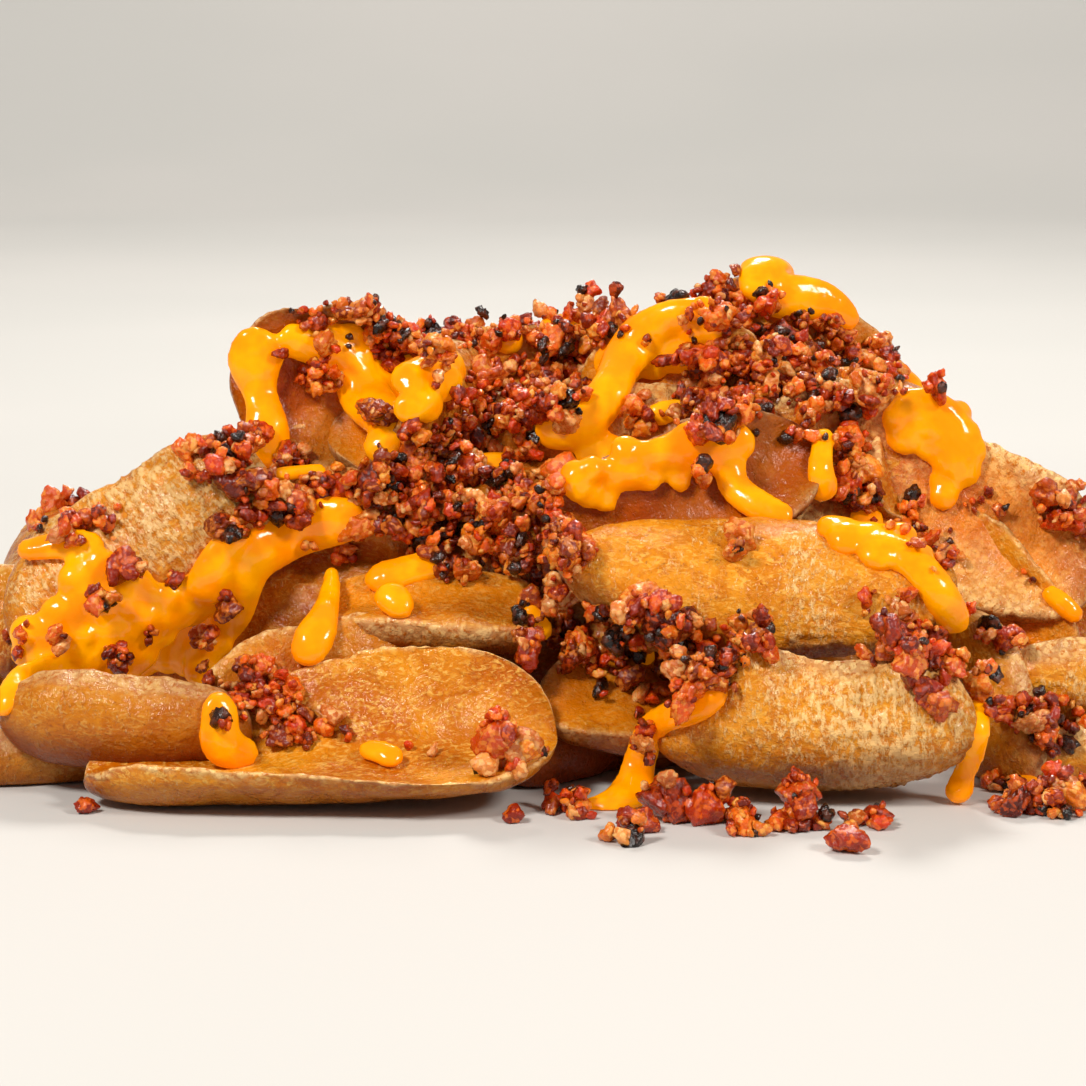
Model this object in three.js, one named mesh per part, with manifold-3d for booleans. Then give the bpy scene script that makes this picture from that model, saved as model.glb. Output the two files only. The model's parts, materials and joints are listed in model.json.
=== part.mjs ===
// A heap of loaded potato wedges as it lies on a flat surface: thick curved slices of potato with
// their skin on, piled against a lumpy core of buried slices, with runs of thick cheese sauce over
// them and crisp bacon crumbs on top and round the foot.
//
// Millimetres, +Z up, +Y away from the front of the heap. The origin is in the middle of the spot
// that the heap stands on. Every slice, run of sauce and pile of crumbs is one closed solid.

import * as THREE from 'three';
import { mergeVertices } from 'three/addons/utils/BufferGeometryUtils.js';
import Module from 'manifold-3d';

const wasm = await Module();
wasm.setup();

// ---------- driving dimensions ----------

const GAP = 0.3;                 // clearance between pieces that touch
const HEAP_LONG = 250;           // along X, foot to foot of the lowest ring of slices
const HEAP_DEEP = 176;           // along Y
const HEAP_MIDDLE_Y = 16;        // the crest lies a little behind the origin

const SLICE_AROUND = 9;          // corners round the section of a slice that the front shows
const SLICE_STATIONS = 8;        // sections along it
const SLICE_EDGE = 0.6;          // 1 is a round section, less is squarer at the cut edges

const RING_AROUND = 6;           // the same for the slices at the back, with fewer sides
const RING_STATIONS = 5;
const CORE_AROUND = 16;
const CORE_LEVELS = 5;
const CORE = { long: 208, deep: 116, high: 66, x: 6, y: HEAP_MIDDLE_Y, square: 2.3, lump: 0.04 };

const SAUCE_THICK = 4.2;         // a run of sauce stands this thick on the potato
const SAUCE_SIDES = 5;           // corners round the section of a run
const SAUCE_STEP = 10;           // distance between its sections
const ROUND_END = 0.35;          // its ends stand out by this share of its width

const CRUMB_SIZE = 8.4;          // across a large bacon crumb
const CRUMB_STEP = 6.2;          // distance between crumbs in a pile
const PILE_THICK = 3;            // a pile is this thick between crumbs
const PILE_BUMP = 5;             // its crumbs stand up by as much as this
const PILE_LIFT = 1.2;           // it lies this far in front of the slices at its knots
const FLOOR_LIFT = -1;           // on the floor it is cut flat instead
const FLOOR_HEAPED = 2;          // and stands this much higher
const PILE_SLOPE = 6;            // most that it steps back from knot to knot, into a hollow
const PILE_WANDER = 3;           // how far a knot inside it is moved off its place in the grid
const LEAST_PIECE = 300;         // mm3, smaller scraps of sauce and bacon are left off
const FINISH = 0.1;              // edges of cuts are evened out to within this

const COLOURS = {
  core: 0xb9803c,
  slice: 0xcf9440,
  sauce: 0xffa214,
  bacon: 0x9c3b22,
};

// Where the heap is seen from when sauce and crumbs are laid on it. Each place is given on an
// upright or level sheet and is carried from the eye through that sheet to the surface behind.
const FRONT = { eye: [0, -677, 159], place: (a, b) => [a, -75, b] };
const ABOVE = { eye: [0, HEAP_MIDDLE_Y, 900], place: (a, b) => [a, b, 100] };
const FLOOR_BEFORE = 176;        // how far in front of the origin things can lie on the floor
const FLOOR_BEHIND = 123;        // and how far behind it

// ---------- the slices ----------
// at: the middle of the slice. turn: heading, climb of its +x end, and roll, in degrees; at roll 0
// the hollow cut face looks up. sag: how far the cut face is hollowed across. bend: how far the
// ends rise. tip: 2 is a pointed end, 4 a blunt one. lip and notch: a torn near edge.

const SLICES = {
  front_dish: { at: [-43, -68, 12.5], turn: [4, 5, 38], long: 92, wide: 34, thick: 8,
    sag: 5, bend: 3, taper: 0.15, twist: 16, tip: 3 },
  front_scoop: { at: [53.2, -68, 15.2], turn: [-6, 3, -60], long: 62, wide: 31, thick: 11,
    sag: 9, bend: 2, twist: -8, lip: 0.28, lipAt: -0.42, notch: 0.35 },
  big_back: { at: [41.6, -46, 36.5], turn: [-2, -4, -130], long: 79, wide: 30, thick: 13,
    sag: 4, bend: -4, taper: -0.05, tip: 2.2 },
  left_boat: { at: [-81.2, -58, 15.8], turn: [-3, -3, -65], long: 50, wide: 20, thick: 12,
    sag: 3, bend: 1, taper: -0.1, tip: 3.2 },
  left_low: { at: [-107, -46, 5.2], turn: [6, 2, -35], long: 60, wide: 20, thick: 11, sag: 3, bend: 1 },
  front_tile: { at: [-47.7, -52, 23.3], turn: [20, 36, 58], long: 50, wide: 27, thick: 9, sag: 3, tip: 3.5 },
  left_skin: { at: [-82, -26, 41.2], turn: [12, 36, -112], long: 62, wide: 33, thick: 9,
    sag: 5, bend: -3, tip: 3 },
  left_far: { at: [-112, -8, 25.5], turn: [5, 0, 55], long: 56, wide: 22, thick: 12, sag: 3 },
  crest_scoop: { at: [-42.5, -2, 72], turn: [12, -14, 80], long: 47, wide: 34, thick: 9,
    sag: 8, bend: 2, tip: 3.8 },
  middle_scoop: { at: [28, -36, 52.8], turn: [12, 24, 66], long: 62, wide: 30, thick: 10, sag: 8, bend: 2 },
  right_scoop: { at: [80.3, -16, 51.2], turn: [-6, -25, 66], long: 76, wide: 36, thick: 10,
    sag: 8, bend: 3, tip: 3 },
  under_right: { at: [93.8, -24, 30.3], turn: [-20, -55, 75], long: 46, wide: 24, thick: 10, sag: 4 },
  right_end: { at: [110, -12, 26], turn: [-20, -42, 60], long: 42, wide: 20, thick: 10, sag: 4 },
  right_edge: { at: [114, -36, 19], turn: [5, 0, -40], long: 52, wide: 26, thick: 13, sag: 4, tip: 3.2 },
  right_post: { at: [92.8, -42, 13.6], turn: [-60, -62, -80], long: 40, wide: 24, thick: 10, sag: 4 },
  right_low: { at: [112, -44, 6], turn: [10, 0, -30], long: 50, wide: 20, thick: 11, sag: 4 },
  dark_low: { at: [6.5, -38, 7], turn: [50, 0, -50], long: 46, wide: 24, thick: 12, sag: 5 },
  behind_scoop: { at: [22.3, -50, 16.8], turn: [20, -5, 35], long: 48, wide: 24, thick: 10, sag: 4 },
  middle_left: { at: [-22.7, -42, 34.7], turn: [-8, -2, 20], long: 46, wide: 22, thick: 10,
    sag: 4, tip: 3.2 },
  crest_middle: { at: [27.2, 0, 74.5], turn: [-20, 8, 70], long: 44, wide: 26, thick: 10, sag: 5 },
  peak: { at: [58, 20, 76.5], turn: [10, -26, 60], long: 54, wide: 28, thick: 11, sag: 6 },
  crest_back: { at: [-8.2, 14, 72.5], turn: [5, 0, 50], long: 60, wide: 26, thick: 10, sag: 5 },
};

// The rest of the slices lie in rings round the core, one above the other, and are one solid with
// it. long and deep are the size of the ring, x its middle. In front the rings draw in, behind the
// slices that show there.
const FRONT_DRAW_IN = 0.62;
const RINGS = [
  { count: 12, height: 9, long: HEAP_LONG - 6, deep: HEAP_DEEP - 12, x: 0 },
  { count: 10, height: 25, long: HEAP_LONG - 26, deep: HEAP_DEEP - 36, x: 4 },
  { count: 8, height: 40, long: HEAP_LONG - 84, deep: HEAP_DEEP - 68, x: 12 },
  { count: 6, height: 55, long: HEAP_LONG - 122, deep: HEAP_DEEP - 100, x: 16 },
  { count: 4, height: 63, long: HEAP_LONG - 164, deep: HEAP_DEEP - 132, x: 20 },
];
const HIDDEN_BELOW = 30;         // lower than this no slices of a ring lie in front, where none would show
const LEANS = [-130, 50, -62, -135, -118, 62, -55, -125];   // how the slices of a ring are rolled
const RING_SLICE = { long: 72, wide: 32, thick: 11, sag: 5 };
// How far the slices of a ring differ from each other, from the least to the most.
const RING_SPREAD = { step: 0.4, height: 6, heading: 44, climb: 30, roll: 24, long: 24, wide: 8 };

// ---------- sauce and crumbs ----------
// Runs of sauce: the sheet they are laid from, the places they pass, and how wide they are.

const SAUCE_RUNS = [
  [FRONT, [[-54, 97], [-56, 90], [-57, 83], [-53, 75], [-52, 67]], 10],
  [FRONT, [[-54, 95], [-46, 93], [-38, 89], [-31, 84], [-27, 76], [-31, 69]], 9],
  [FRONT, [[-32, 59], [-46, 56], [-56, 51], [-60, 43], [-66, 33], [-65, 24], [-63, 16], [-58, 11]], 9],
  [FRONT, [[-46, 55], [-57, 48], [-72, 41], [-92, 33], [-100, 28], [-103, 21]], 11],
  [FRONT, [[-66, 44], [-82, 43], [-97, 37]], 12],
  [FRONT, [[-17, 46], [-29, 47], [-39, 46], [-41, 38], [-45, 30], [-47, 25]], 6],
  [FRONT, [[-32, 47], [-31, 42], [-26, 37]], 6],
  [FRONT, [[-37, 12], [-26, 10]], 6],
  [FRONT, [[12, 31], [18, 31], [23, 26]], 5],
  [FRONT, [[37, 24], [28, 20], [20, 15], [18, 8], [14, 2], [4, 1]], 7],
  [FRONT, [[34, 93], [21, 95], [13, 87], [8, 79], [-1, 74], [-12, 71]], 8],
  [FRONT, [[39, 73], [28, 70], [18, 70], [12, 66], [11, 57]], 7],
  [FRONT, [[37, 73], [35, 68], [40, 61], [48, 58], [58, 56], [68, 51], [74, 44], [78, 38], [80, 32]], 8],
  [FRONT, [[52, 76], [52, 67], [53, 59]], 6],
  [FRONT, [[66, 80], [74, 76], [78, 68], [78, 60]], 9],
  [FRONT, [[84, 31], [83, 22], [82, 14], [81, 5]], 6],
  [FRONT, [[36, 98], [47, 99], [57, 92]], 13],
  [FRONT, [[-107, 50], [-96, 51], [-84, 54]], 8],
  [FRONT, [[-14, 89], [0, 90]], 9],
  [FRONT, [[92, 47], [101, 39]], 8],
  [ABOVE, [[44, 14], [50, 34], [44, 52], [52, 70], [62, 88]], 9],
  [ABOVE, [[-50, 4], [-44, 24], [-56, 44], [-48, 66]], 9],
  [ABOVE, [[2, 16], [6, 36], [-6, 52], [0, 76], [-10, 96]], 9],
  [ABOVE, [[70, 6], [86, 22], [92, 40], [104, 52]], 8],
  [ABOVE, [[-80, -6], [-88, 18], [-78, 38], [-92, 54]], 8],
];

// Piles of crumbs: the sheet, the middle of the pile, half its width and height, and whether it
// has fallen on the floor.
const CRUMB_PILES = [
  [FRONT, [-34, 89], [15, 5]],
  [FRONT, [-22, 60], [32, 17]],
  [FRONT, [30, 81], [46, 11]],
  [FRONT, [69, 55], [13, 7]],
  [FRONT, [66, 39], [8, 5]],
  [FRONT, [15, 32], [21, 8]],
  [FRONT, [-51, 20], [9, 7]],
  [FRONT, [-88, 55], [11, 4]],
  [FRONT, [-80, 37], [14, 4]],
  [FRONT, [-62, 66], [6, 4]],
  [FRONT, [103, 57], [9, 6]],
  [FRONT, [88, 31], [6, 4]],
  [FRONT, [99, 20], [8, 4]],
  [ABOVE, [38, -80], [18, 6], true],
  [ABOVE, [0, -76], [12, 6], true],
  [ABOVE, [98, -60], [15, 8], true],
  [ABOVE, [72, -80], [13, 5], true],
  [ABOVE, [-4, 48], [24, 8]],
  [ABOVE, [50, 50], [18, 14]],
  [ABOVE, [-46, 50], [12, 11]],
  [ABOVE, [4, 80], [14, 9]],
  [ABOVE, [94, 46], [9, 9]],
  [ABOVE, [-94, 48], [9, 8]],
];

// Crumbs that lie alone on the surface, by x and y.
const LONE_CRUMBS = [[17, -90], [57, -105], [-88, -76]];

// ---------- shared helpers ----------

const radians = THREE.MathUtils.degToRad;
const clamp = THREE.MathUtils.clamp;

// A repeatable number from 0 to 1 for each seed.
function chance(seed) {
  const mixed = Math.sin(seed * 12.9898 + 4.1) * 43758.5453;
  return mixed - Math.floor(mixed);
}

// Joins rings of equal length into a closed surface, with a point before the first ring and one
// after the last. Rings run anticlockwise when they are seen from the far end.
function closedSurface(first, rings, last) {
  const points = [first, ...rings.flat(), last];
  const sides = rings[0].length;
  const corner = (ring, side) => 1 + ring * sides + (side % sides);
  const end = points.length - 1;
  const faces = [];
  for (let side = 0; side < sides; side += 1) {
    faces.push(0, corner(0, side + 1), corner(0, side));
    faces.push(end, corner(rings.length - 1, side), corner(rings.length - 1, side + 1));
    for (let ring = 0; ring < rings.length - 1; ring += 1) {
      const a = corner(ring, side);
      const b = corner(ring, side + 1);
      const c = corner(ring + 1, side + 1);
      const d = corner(ring + 1, side);
      faces.push(a, b, c, a, c, d);
    }
  }
  const geometry = new THREE.BufferGeometry();
  geometry.setAttribute('position', new THREE.Float32BufferAttribute(points.flat(), 3));
  geometry.setIndex(faces);
  return geometry;
}

function solidFrom(geometry) {
  const bare = geometry.clone();
  bare.deleteAttribute('normal');
  bare.deleteAttribute('uv');
  const merged = mergeVertices(bare, 1e-4);
  const mesh = new wasm.Mesh({
    numProp: 3,
    vertProperties: new Float32Array(merged.getAttribute('position').array),
    triVerts: new Uint32Array(merged.getIndex().array),
  });
  return new wasm.Manifold(mesh);
}

function geometryFrom(solid) {
  const mesh = solid.getMesh();
  const geometry = new THREE.BufferGeometry();
  geometry.setAttribute('position', new THREE.BufferAttribute(new Float32Array(mesh.vertProperties), 3));
  geometry.setIndex(new THREE.BufferAttribute(new Uint32Array(mesh.triVerts), 1));
  geometry.computeVertexNormals();
  return geometry;
}

function largestPart(solid) {
  const parts = solid.decompose();
  parts.sort((a, b) => b.volume() - a.volume());
  return parts[0];
}

function boxesTouch(a, b) {
  const one = a.boundingBox();
  const other = b.boundingBox();
  return [0, 1, 2].every((axis) => one.min[axis] < other.max[axis] && one.max[axis] > other.min[axis]);
}

// Takes every tool that reaches the solid away from it.
function cutBy(solid, tools) {
  return tools.reduce((rest, tool) => (boxesTouch(rest, tool) ? rest.subtract(tool) : rest), solid);
}

function aboveFloor(solid) {
  return solid.trimByPlane([0, 0, 1], 0);
}

function placed(solid, object) {
  object.updateMatrixWorld(true);
  return solid.transform(Array.from(object.matrixWorld.elements));
}

function broughtHome(solid, object) {
  return solid.transform(Array.from(object.matrixWorld.clone().invert().elements));
}

// ---------- a slice of potato ----------
// Along runs from -1 to 1 and angle goes round the section. The half width falls off to both ends
// as the root of 1 - |along|^tip, the cut face is hollowed in proportion to the square of the place
// across, the ends rise by bend, and the whole turns by twist about its length. The upper half of
// the section is the cut face and the lower half is the skin.
function slicePoint(form, along, angle, grow) {
  const { long, wide, thick, sag } = form;
  const { bend = 0, taper = 0, twist = 0, tip = 2.6, lip = 0, lipAt = 0, notch = 0, phase = 0 } = form;
  const across = Math.cos(angle);
  const up = Math.sin(angle);
  const unevenness = 1 + 0.05 * Math.sin(2.7 * along + phase)
    + 0.035 * Math.sin(6.1 * along + 2.3 * phase + 1.3 * across);
  const near = Math.max(-across, 0);
  const tornUp = lip * Math.exp(-(((along - lipAt) / 0.13) ** 2));
  const tornOff = notch * Math.sqrt(clamp((lipAt - along) / (lipAt + 1), 0, 1));
  const narrowing = Math.sqrt(Math.max(1 - Math.abs(along) ** tip, 0));
  const half = (wide / 2) * narrowing * (1 + taper * along) * unevenness * (1 + near * (tornUp - tornOff))
    + grow * Math.max(1 - along ** 4, 0);
  const depth = thick * Math.sqrt(Math.max(1 - Math.abs(along) ** 3.2, 0))
    + 2 * grow * Math.max(1 - along ** 8, 0);
  const y = half * across;
  const middle = -thick / 2 + sag * (half / (wide / 2)) * across * across;
  const z = middle + 0.5 * depth * Math.sign(up) * Math.abs(up) ** SLICE_EDGE + bend * along * along;
  const turn = radians(twist) * along;
  return [
    (long / 2 + grow) * along,
    y * Math.cos(turn) - z * Math.sin(turn),
    y * Math.sin(turn) + z * Math.cos(turn),
  ];
}

function sliceGeometry(form, grow = 0, around = SLICE_AROUND, stations = SLICE_STATIONS) {
  const rings = [];
  for (let station = 1; station < stations; station += 1) {
    const along = Math.sin((station / stations - 0.5) * Math.PI);
    const ring = [];
    for (let side = 0; side < around; side += 1) {
      ring.push(slicePoint(form, along, (side / around) * 2 * Math.PI, grow));
    }
    rings.push(ring);
  }
  return closedSurface(slicePoint(form, -1, 0, grow), rings, slicePoint(form, 1, 0, grow));
}

// The forms of the slices in the rings. A slice lies along its ring, more or less, and leans on
// the slope with its skin or its cut face outwards.
function ringSlices() {
  const forms = [];
  for (const { count, height, long, deep, x } of RINGS) {
    for (let step = 0; step < count; step += 1) {
      const number = forms.length;
      const wander = (spread, seed) => spread * (chance(number + seed) - 0.5);
      const angle = ((step + wander(RING_SPREAD.step, 0)) / count) * 2 * Math.PI;
      if (Math.sin(angle) < -0.4 && height < HIDDEN_BELOW) continue;
      const drawIn = Math.sin(angle) < 0 ? FRONT_DRAW_IN : 1;
      const heading = Math.atan2(drawIn * deep * Math.cos(angle), -long * Math.sin(angle));
      forms.push({
        at: [
          x + (long / 2) * Math.cos(angle),
          HEAP_MIDDLE_Y + drawIn * (deep / 2) * Math.sin(angle),
          height + wander(RING_SPREAD.height, 20),
        ],
        turn: [
          THREE.MathUtils.radToDeg(heading) + wander(RING_SPREAD.heading, 50),
          wander(RING_SPREAD.climb, 130),
          LEANS[number % LEANS.length] + wander(RING_SPREAD.roll, 90),
        ],
        long: RING_SLICE.long + wander(RING_SPREAD.long, 170),
        wide: RING_SLICE.wide + wander(RING_SPREAD.wide, 210),
        thick: RING_SLICE.thick,
        sag: RING_SLICE.sag,
        phase: number * 1.3,
      });
    }
  }
  return forms;
}

// ---------- the core ----------
// A flat-bottomed dome with swells on it, for the slices that lie buried in the heap.
function coreGeometry(grow = 0) {
  const rings = [];
  for (let level = 0; level < CORE_LEVELS; level += 1) {
    const lift = (level / CORE_LEVELS) * (Math.PI / 2);
    const ring = [];
    for (let side = 0; side < CORE_AROUND; side += 1) {
      const angle = (side / CORE_AROUND) * 2 * Math.PI;
      const swell = 1 + CORE.lump * (Math.sin(3 * angle + 4 * lift) + Math.sin(5 * angle - 3 * lift));
      const cos = Math.cos(angle);
      const sin = Math.sin(angle);
      const reach = swell * Math.cos(lift) ** (2 / CORE.square)
        / (Math.abs(cos) ** CORE.square + Math.abs(sin) ** CORE.square) ** (1 / CORE.square);
      ring.push([
        CORE.x + (CORE.long / 2 + grow) * reach * cos,
        CORE.y + (CORE.deep / 2 + grow) * reach * sin,
        level === 0 ? -grow : (CORE.high + grow) * Math.sin(lift) ** (2 / CORE.square),
      ]);
    }
    rings.push(ring);
  }
  return closedSurface([CORE.x, CORE.y, -grow], rings, [CORE.x, CORE.y, CORE.high + grow]);
}

// ---------- the pieces ----------

const heap = new THREE.Group();
const toolsSoFar = [];           // every finished piece, grown by the gap
const surface = [];              // the meshes that sauce and crumbs can lie on

function addMesh(name, solid, colour, object = new THREE.Object3D()) {
  const material = new THREE.MeshStandardMaterial({
    color: COLOURS[colour],
    roughness: colour === 'sauce' ? 0.25 : 0.6,
    metalness: 0,
  });
  const mesh = new THREE.Mesh(geometryFrom(solid), material);
  mesh.name = name;
  mesh.position.copy(object.position);
  mesh.rotation.copy(object.rotation);
  mesh.updateMatrixWorld(true);
  heap.add(mesh);
  return mesh;
}

function placeOf(form) {
  const object = new THREE.Object3D();
  const [heading, climb, roll] = form.turn;
  object.position.set(...form.at);
  object.rotation.set(radians(roll), radians(-climb), radians(heading), 'ZYX');
  return object;
}

// The core with the slices of the rings joined on, clear of the slices that lie in front of them.
function addCore() {
  const slices = (grow) => ringSlices().map((form) => (
    placed(solidFrom(sliceGeometry(form, grow, RING_AROUND, RING_STATIONS)), placeOf(form))
  ));
  const core = laidOn([solidFrom(coreGeometry()), ...slices(0)], toolsSoFar.slice(1));
  surface.push(addMesh('potato_core', largestPart(core), 'core'));
  toolsSoFar.push(joined(slices(GAP)));
}

function addSlice(name, form) {
  const object = placeOf(form);
  const whole = placed(solidFrom(sliceGeometry(form)), object);
  const cut = largestPart(aboveFloor(cutBy(whole, toolsSoFar)).simplify(FINISH / 2));
  surface.push(addMesh(`wedge_${name}`, broughtHome(cut, object), 'slice', object));
  toolsSoFar.push(placed(solidFrom(sliceGeometry(form, GAP)), object));
}

// ---------- laying things on the heap ----------

const caster = new THREE.Raycaster();
const floor = new THREE.Plane(new THREE.Vector3(0, 0, 1), 0);

// The first surface behind a place on a sheet: its outward normal and its distance. Where no
// slice is behind it, it is the floor, or endlessly far if that is off the heap's own ground.
function landOn(sheet, a, b) {
  const eye = new THREE.Vector3(...sheet.eye);
  const towards = new THREE.Vector3(...sheet.place(a, b)).sub(eye).normalize();
  caster.set(eye, towards);
  const hit = caster.intersectObjects(surface, false)[0];
  if (hit) {
    const normal = hit.face.normal.clone().transformDirection(hit.object.matrixWorld);
    return { eye, towards, normal, distance: hit.distance };
  }
  const ground = caster.ray.intersectPlane(floor, new THREE.Vector3());
  const near = ground && ground.y > -FLOOR_BEFORE && ground.y < FLOOR_BEHIND;
  return { eye, towards, normal: floor.normal, distance: near ? ground.distanceTo(eye) : Infinity };
}

const landed = ({ distance }) => Number.isFinite(distance);

// A run of sauce follows the surface under it, and hangs in a curve where that drops away: each
// section takes the nearest distance among its neighbours, averaged over a few sections.
function runSections([sheet, places, wide]) {
  const curve = new THREE.CatmullRomCurve3(places.map(([a, b]) => new THREE.Vector3(a, b, 0)));
  const count = Math.max(3, Math.round(curve.getLength() / SAUCE_STEP));
  const landings = curve.getSpacedPoints(count).map(({ x, y }) => landOn(sheet, x, y)).filter(landed);
  const window = (index, reach) => landings.slice(Math.max(0, index - reach), index + reach + 1);
  const nearest = landings.map((_, index) => Math.min(...window(index, 1).map((one) => one.distance)));
  return landings.map((landing, index) => {
    const beside = nearest.slice(Math.max(0, index - 1), index + 2);
    const distance = beside.reduce((sum, one) => sum + one, 0) / beside.length;
    const normal = window(index, 1).reduce((sum, one) => sum.add(one.normal), new THREE.Vector3());
    const point = landing.eye.clone().addScaledVector(landing.towards, distance);
    normal.addScaledVector(landing.towards, -0.5).normalize();
    point.addScaledVector(normal, SAUCE_THICK * 0.5);
    return { point, normal, wide: wide * (0.85 + 0.3 * chance(index + wide)) };
  });
}

// An oval section carried along the run, with rounded ends. No section is turned right over from
// the one before.
function runGeometry(run, grow = 0) {
  const sections = runSections(run);
  const last = sections.length - 1;
  const alongAt = (index) => {
    const ahead = sections[Math.min(index + 1, last)].point;
    const behind = sections[Math.max(index - 1, 0)].point;
    return ahead.clone().sub(behind).normalize();
  };
  const tip = (index, sign) => {
    const { point, wide } = sections[index];
    return point.clone().addScaledVector(alongAt(index), sign * (wide * ROUND_END + grow)).toArray();
  };
  const rings = [];
  let sideBefore = new THREE.Vector3();
  sections.forEach(({ point, normal, wide }, index) => {
    const along = alongAt(index);
    const side = normal.clone().cross(along).normalize();
    if (side.dot(sideBefore) < 0) side.negate();
    sideBefore = side;
    const up = along.clone().cross(side).normalize();
    const fall = index === 0 || index === last ? 0.8 : 1;
    const ring = [];
    for (let corner = 0; corner < SAUCE_SIDES; corner += 1) {
      const angle = ((corner + 0.5) / SAUCE_SIDES) * 2 * Math.PI;
      const spot = point.clone()
        .addScaledVector(side, (fall * wide / 2 + grow) * Math.cos(angle))
        .addScaledVector(up, (fall * SAUCE_THICK / 2 + grow) * Math.sin(angle));
      ring.push(spot.toArray());
    }
    rings.push(ring);
  });
  return closedSurface(tip(0, -1), rings, tip(last, 1));
}

// A crumb is a squashed twelve-cornered lump, turned its own way.
function crumbSolid(point, size, seed) {
  const lump = new THREE.Object3D();
  lump.position.copy(point);
  lump.rotation.set(seed, 2.3 * seed, 3.1 * seed);
  lump.scale.set(1, 0.8 + 0.3 * chance(seed), 0.6 + 0.3 * chance(seed + 7));
  return placed(solidFrom(new THREE.IcosahedronGeometry(size / 2, 0)), lump);
}

// A pile covers an oval of the sheet. It follows the slices and slopes into the hollows between
// them. Each knot of its grid stands up by its own height, as a crumb. A column of knots that
// would stand out past the heap is drawn in towards the middle of the pile.
function pileSolid([sheet, middle, [halfWide, halfHigh], onFloor = false], pile) {
  const columns = Math.max(3, Math.round((2 * halfWide) / CRUMB_STEP) + 1);
  const rows = Math.max(3, Math.round((2 * halfHigh) / CRUMB_STEP) + 1);
  const lift = onFloor ? FLOOR_LIFT : PILE_LIFT;
  const thick = PILE_THICK + (onFloor ? FLOOR_HEAPED : 0);
  const across = (u, v) => middle[0] + u * Math.sqrt(1 - (v * v) / 2) * halfWide;
  const up = (u, v) => v * Math.sqrt(1 - (u * u) / 2) * halfHigh;
  const shares = [1, 0.8, 0.6];
  const drawnIn = (u, v) => (
    shares.find((share) => landed(landOn(sheet, across(u, v), middle[1] + share * up(u, v)))) ?? 0.4
  );
  const knots = [];
  for (let column = 0; column < columns; column += 1) {
    const u = -1 + (2 * column) / (columns - 1);
    const above = drawnIn(u, 1);
    const below = drawnIn(u, -1);
    for (let row = 0; row < rows; row += 1) {
      const v = -1 + (2 * row) / (rows - 1);
      const seed = 1000 * pile + 30 * row + column;
      const inside = row > 0 && column > 0 && row < rows - 1 && column < columns - 1;
      const wander = inside ? PILE_WANDER : 0;
      const a = across(u, v) + wander * (chance(seed) - 0.5);
      const b = up(u, v) + wander * (chance(seed + 5) - 0.5);
      const stand = inside ? thick + PILE_BUMP * chance(seed + 9) : PILE_THICK / 2;
      knots.push({ row, column, stand, ...landOn(sheet, a, middle[1] + (v > 0 ? above : below) * b) });
    }
  }
  const eased = (knot) => Math.min(...knots.map(({ row, column, distance }) => (
    distance + PILE_SLOPE * Math.hypot(row - knot.row, column - knot.column)
  )));
  const layer = (offset) => {
    const points = knots.map((knot) => {
      const distance = eased(knot) - lift - offset(knot);
      return knot.eye.clone().addScaledVector(knot.towards, distance).toArray();
    });
    return Array.from({ length: columns }, (_, column) => points.slice(column * rows, (column + 1) * rows));
  };
  return solidFrom(closedSheet(layer(() => 0), layer((knot) => knot.stand)));
}

// Two grids of points, the far one and the near one, joined round their edge. A grid is a list of
// columns, from left to right, and a column a list of points, from the bottom up.
function closedSheet(far, near) {
  const columns = far.length;
  const rows = far[0].length;
  const points = [...far.flat(), ...near.flat()];
  const back = (column, row) => column * rows + row;
  const front = (column, row) => columns * rows + back(column, row);
  const faces = [];
  const quad = (a, b, c, d) => faces.push(a, b, c, a, c, d);
  const right = columns - 1;
  const top = rows - 1;
  for (let column = 0; column < right; column += 1) {
    const next = column + 1;
    for (let row = 0; row < top; row += 1) {
      quad(back(column, row), back(column, row + 1), back(next, row + 1), back(next, row));
      quad(front(column, row), front(next, row), front(next, row + 1), front(column, row + 1));
    }
    quad(back(column, 0), back(next, 0), front(next, 0), front(column, 0));
    quad(back(column, top), front(column, top), front(next, top), back(next, top));
  }
  for (let row = 0; row < top; row += 1) {
    quad(back(0, row), front(0, row), front(0, row + 1), back(0, row + 1));
    quad(back(right, row), back(right, row + 1), front(right, row + 1), front(right, row));
  }
  const geometry = new THREE.BufferGeometry();
  geometry.setAttribute('position', new THREE.Float32BufferAttribute(points.flat(), 3));
  geometry.setIndex(faces);
  return geometry;
}

function joined(solids) {
  return solids.reduce((sum, one) => sum.add(one));
}

// Pieces joined and clear of all that is there already.
function laidOn(solids, tools) {
  return aboveFloor(cutBy(joined(solids), tools)).simplify(FINISH);
}

function addPieces(prefix, solid, colour) {
  const parts = solid.decompose().filter((part) => part.volume() > LEAST_PIECE);
  parts.sort((a, b) => b.volume() - a.volume());
  return parts.map((part, index) => {
    const name = `${prefix}_${String(index + 1).padStart(2, '0')}`;
    return addMesh(name, part, colour);
  });
}

function addSauce() {
  const grown = joined(SAUCE_RUNS.map((run) => solidFrom(runGeometry(run, 2 * GAP))));
  const whole = laidOn(SAUCE_RUNS.map((run) => solidFrom(runGeometry(run))), toolsSoFar);
  const meshes = addPieces('sauce', whole, 'sauce');
  surface.push(...meshes);
  toolsSoFar.push(grown);
}

function addBacon() {
  addPieces('bacon', laidOn(CRUMB_PILES.map(pileSolid), toolsSoFar), 'bacon');
  LONE_CRUMBS.forEach(([x, y], index) => {
    const point = new THREE.Vector3(x, y, CRUMB_SIZE / 4);
    const lump = crumbSolid(point, CRUMB_SIZE, index + 0.4);
    addMesh(`crumb_${index + 1}`, aboveFloor(lump), 'bacon');
  });
}

toolsSoFar.push(solidFrom(coreGeometry(GAP)));
Object.entries(SLICES).forEach(([name, form], index) => addSlice(name, { phase: index * 1.7, ...form }));
addCore();
addSauce();
addBacon();

export default heap;
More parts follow.
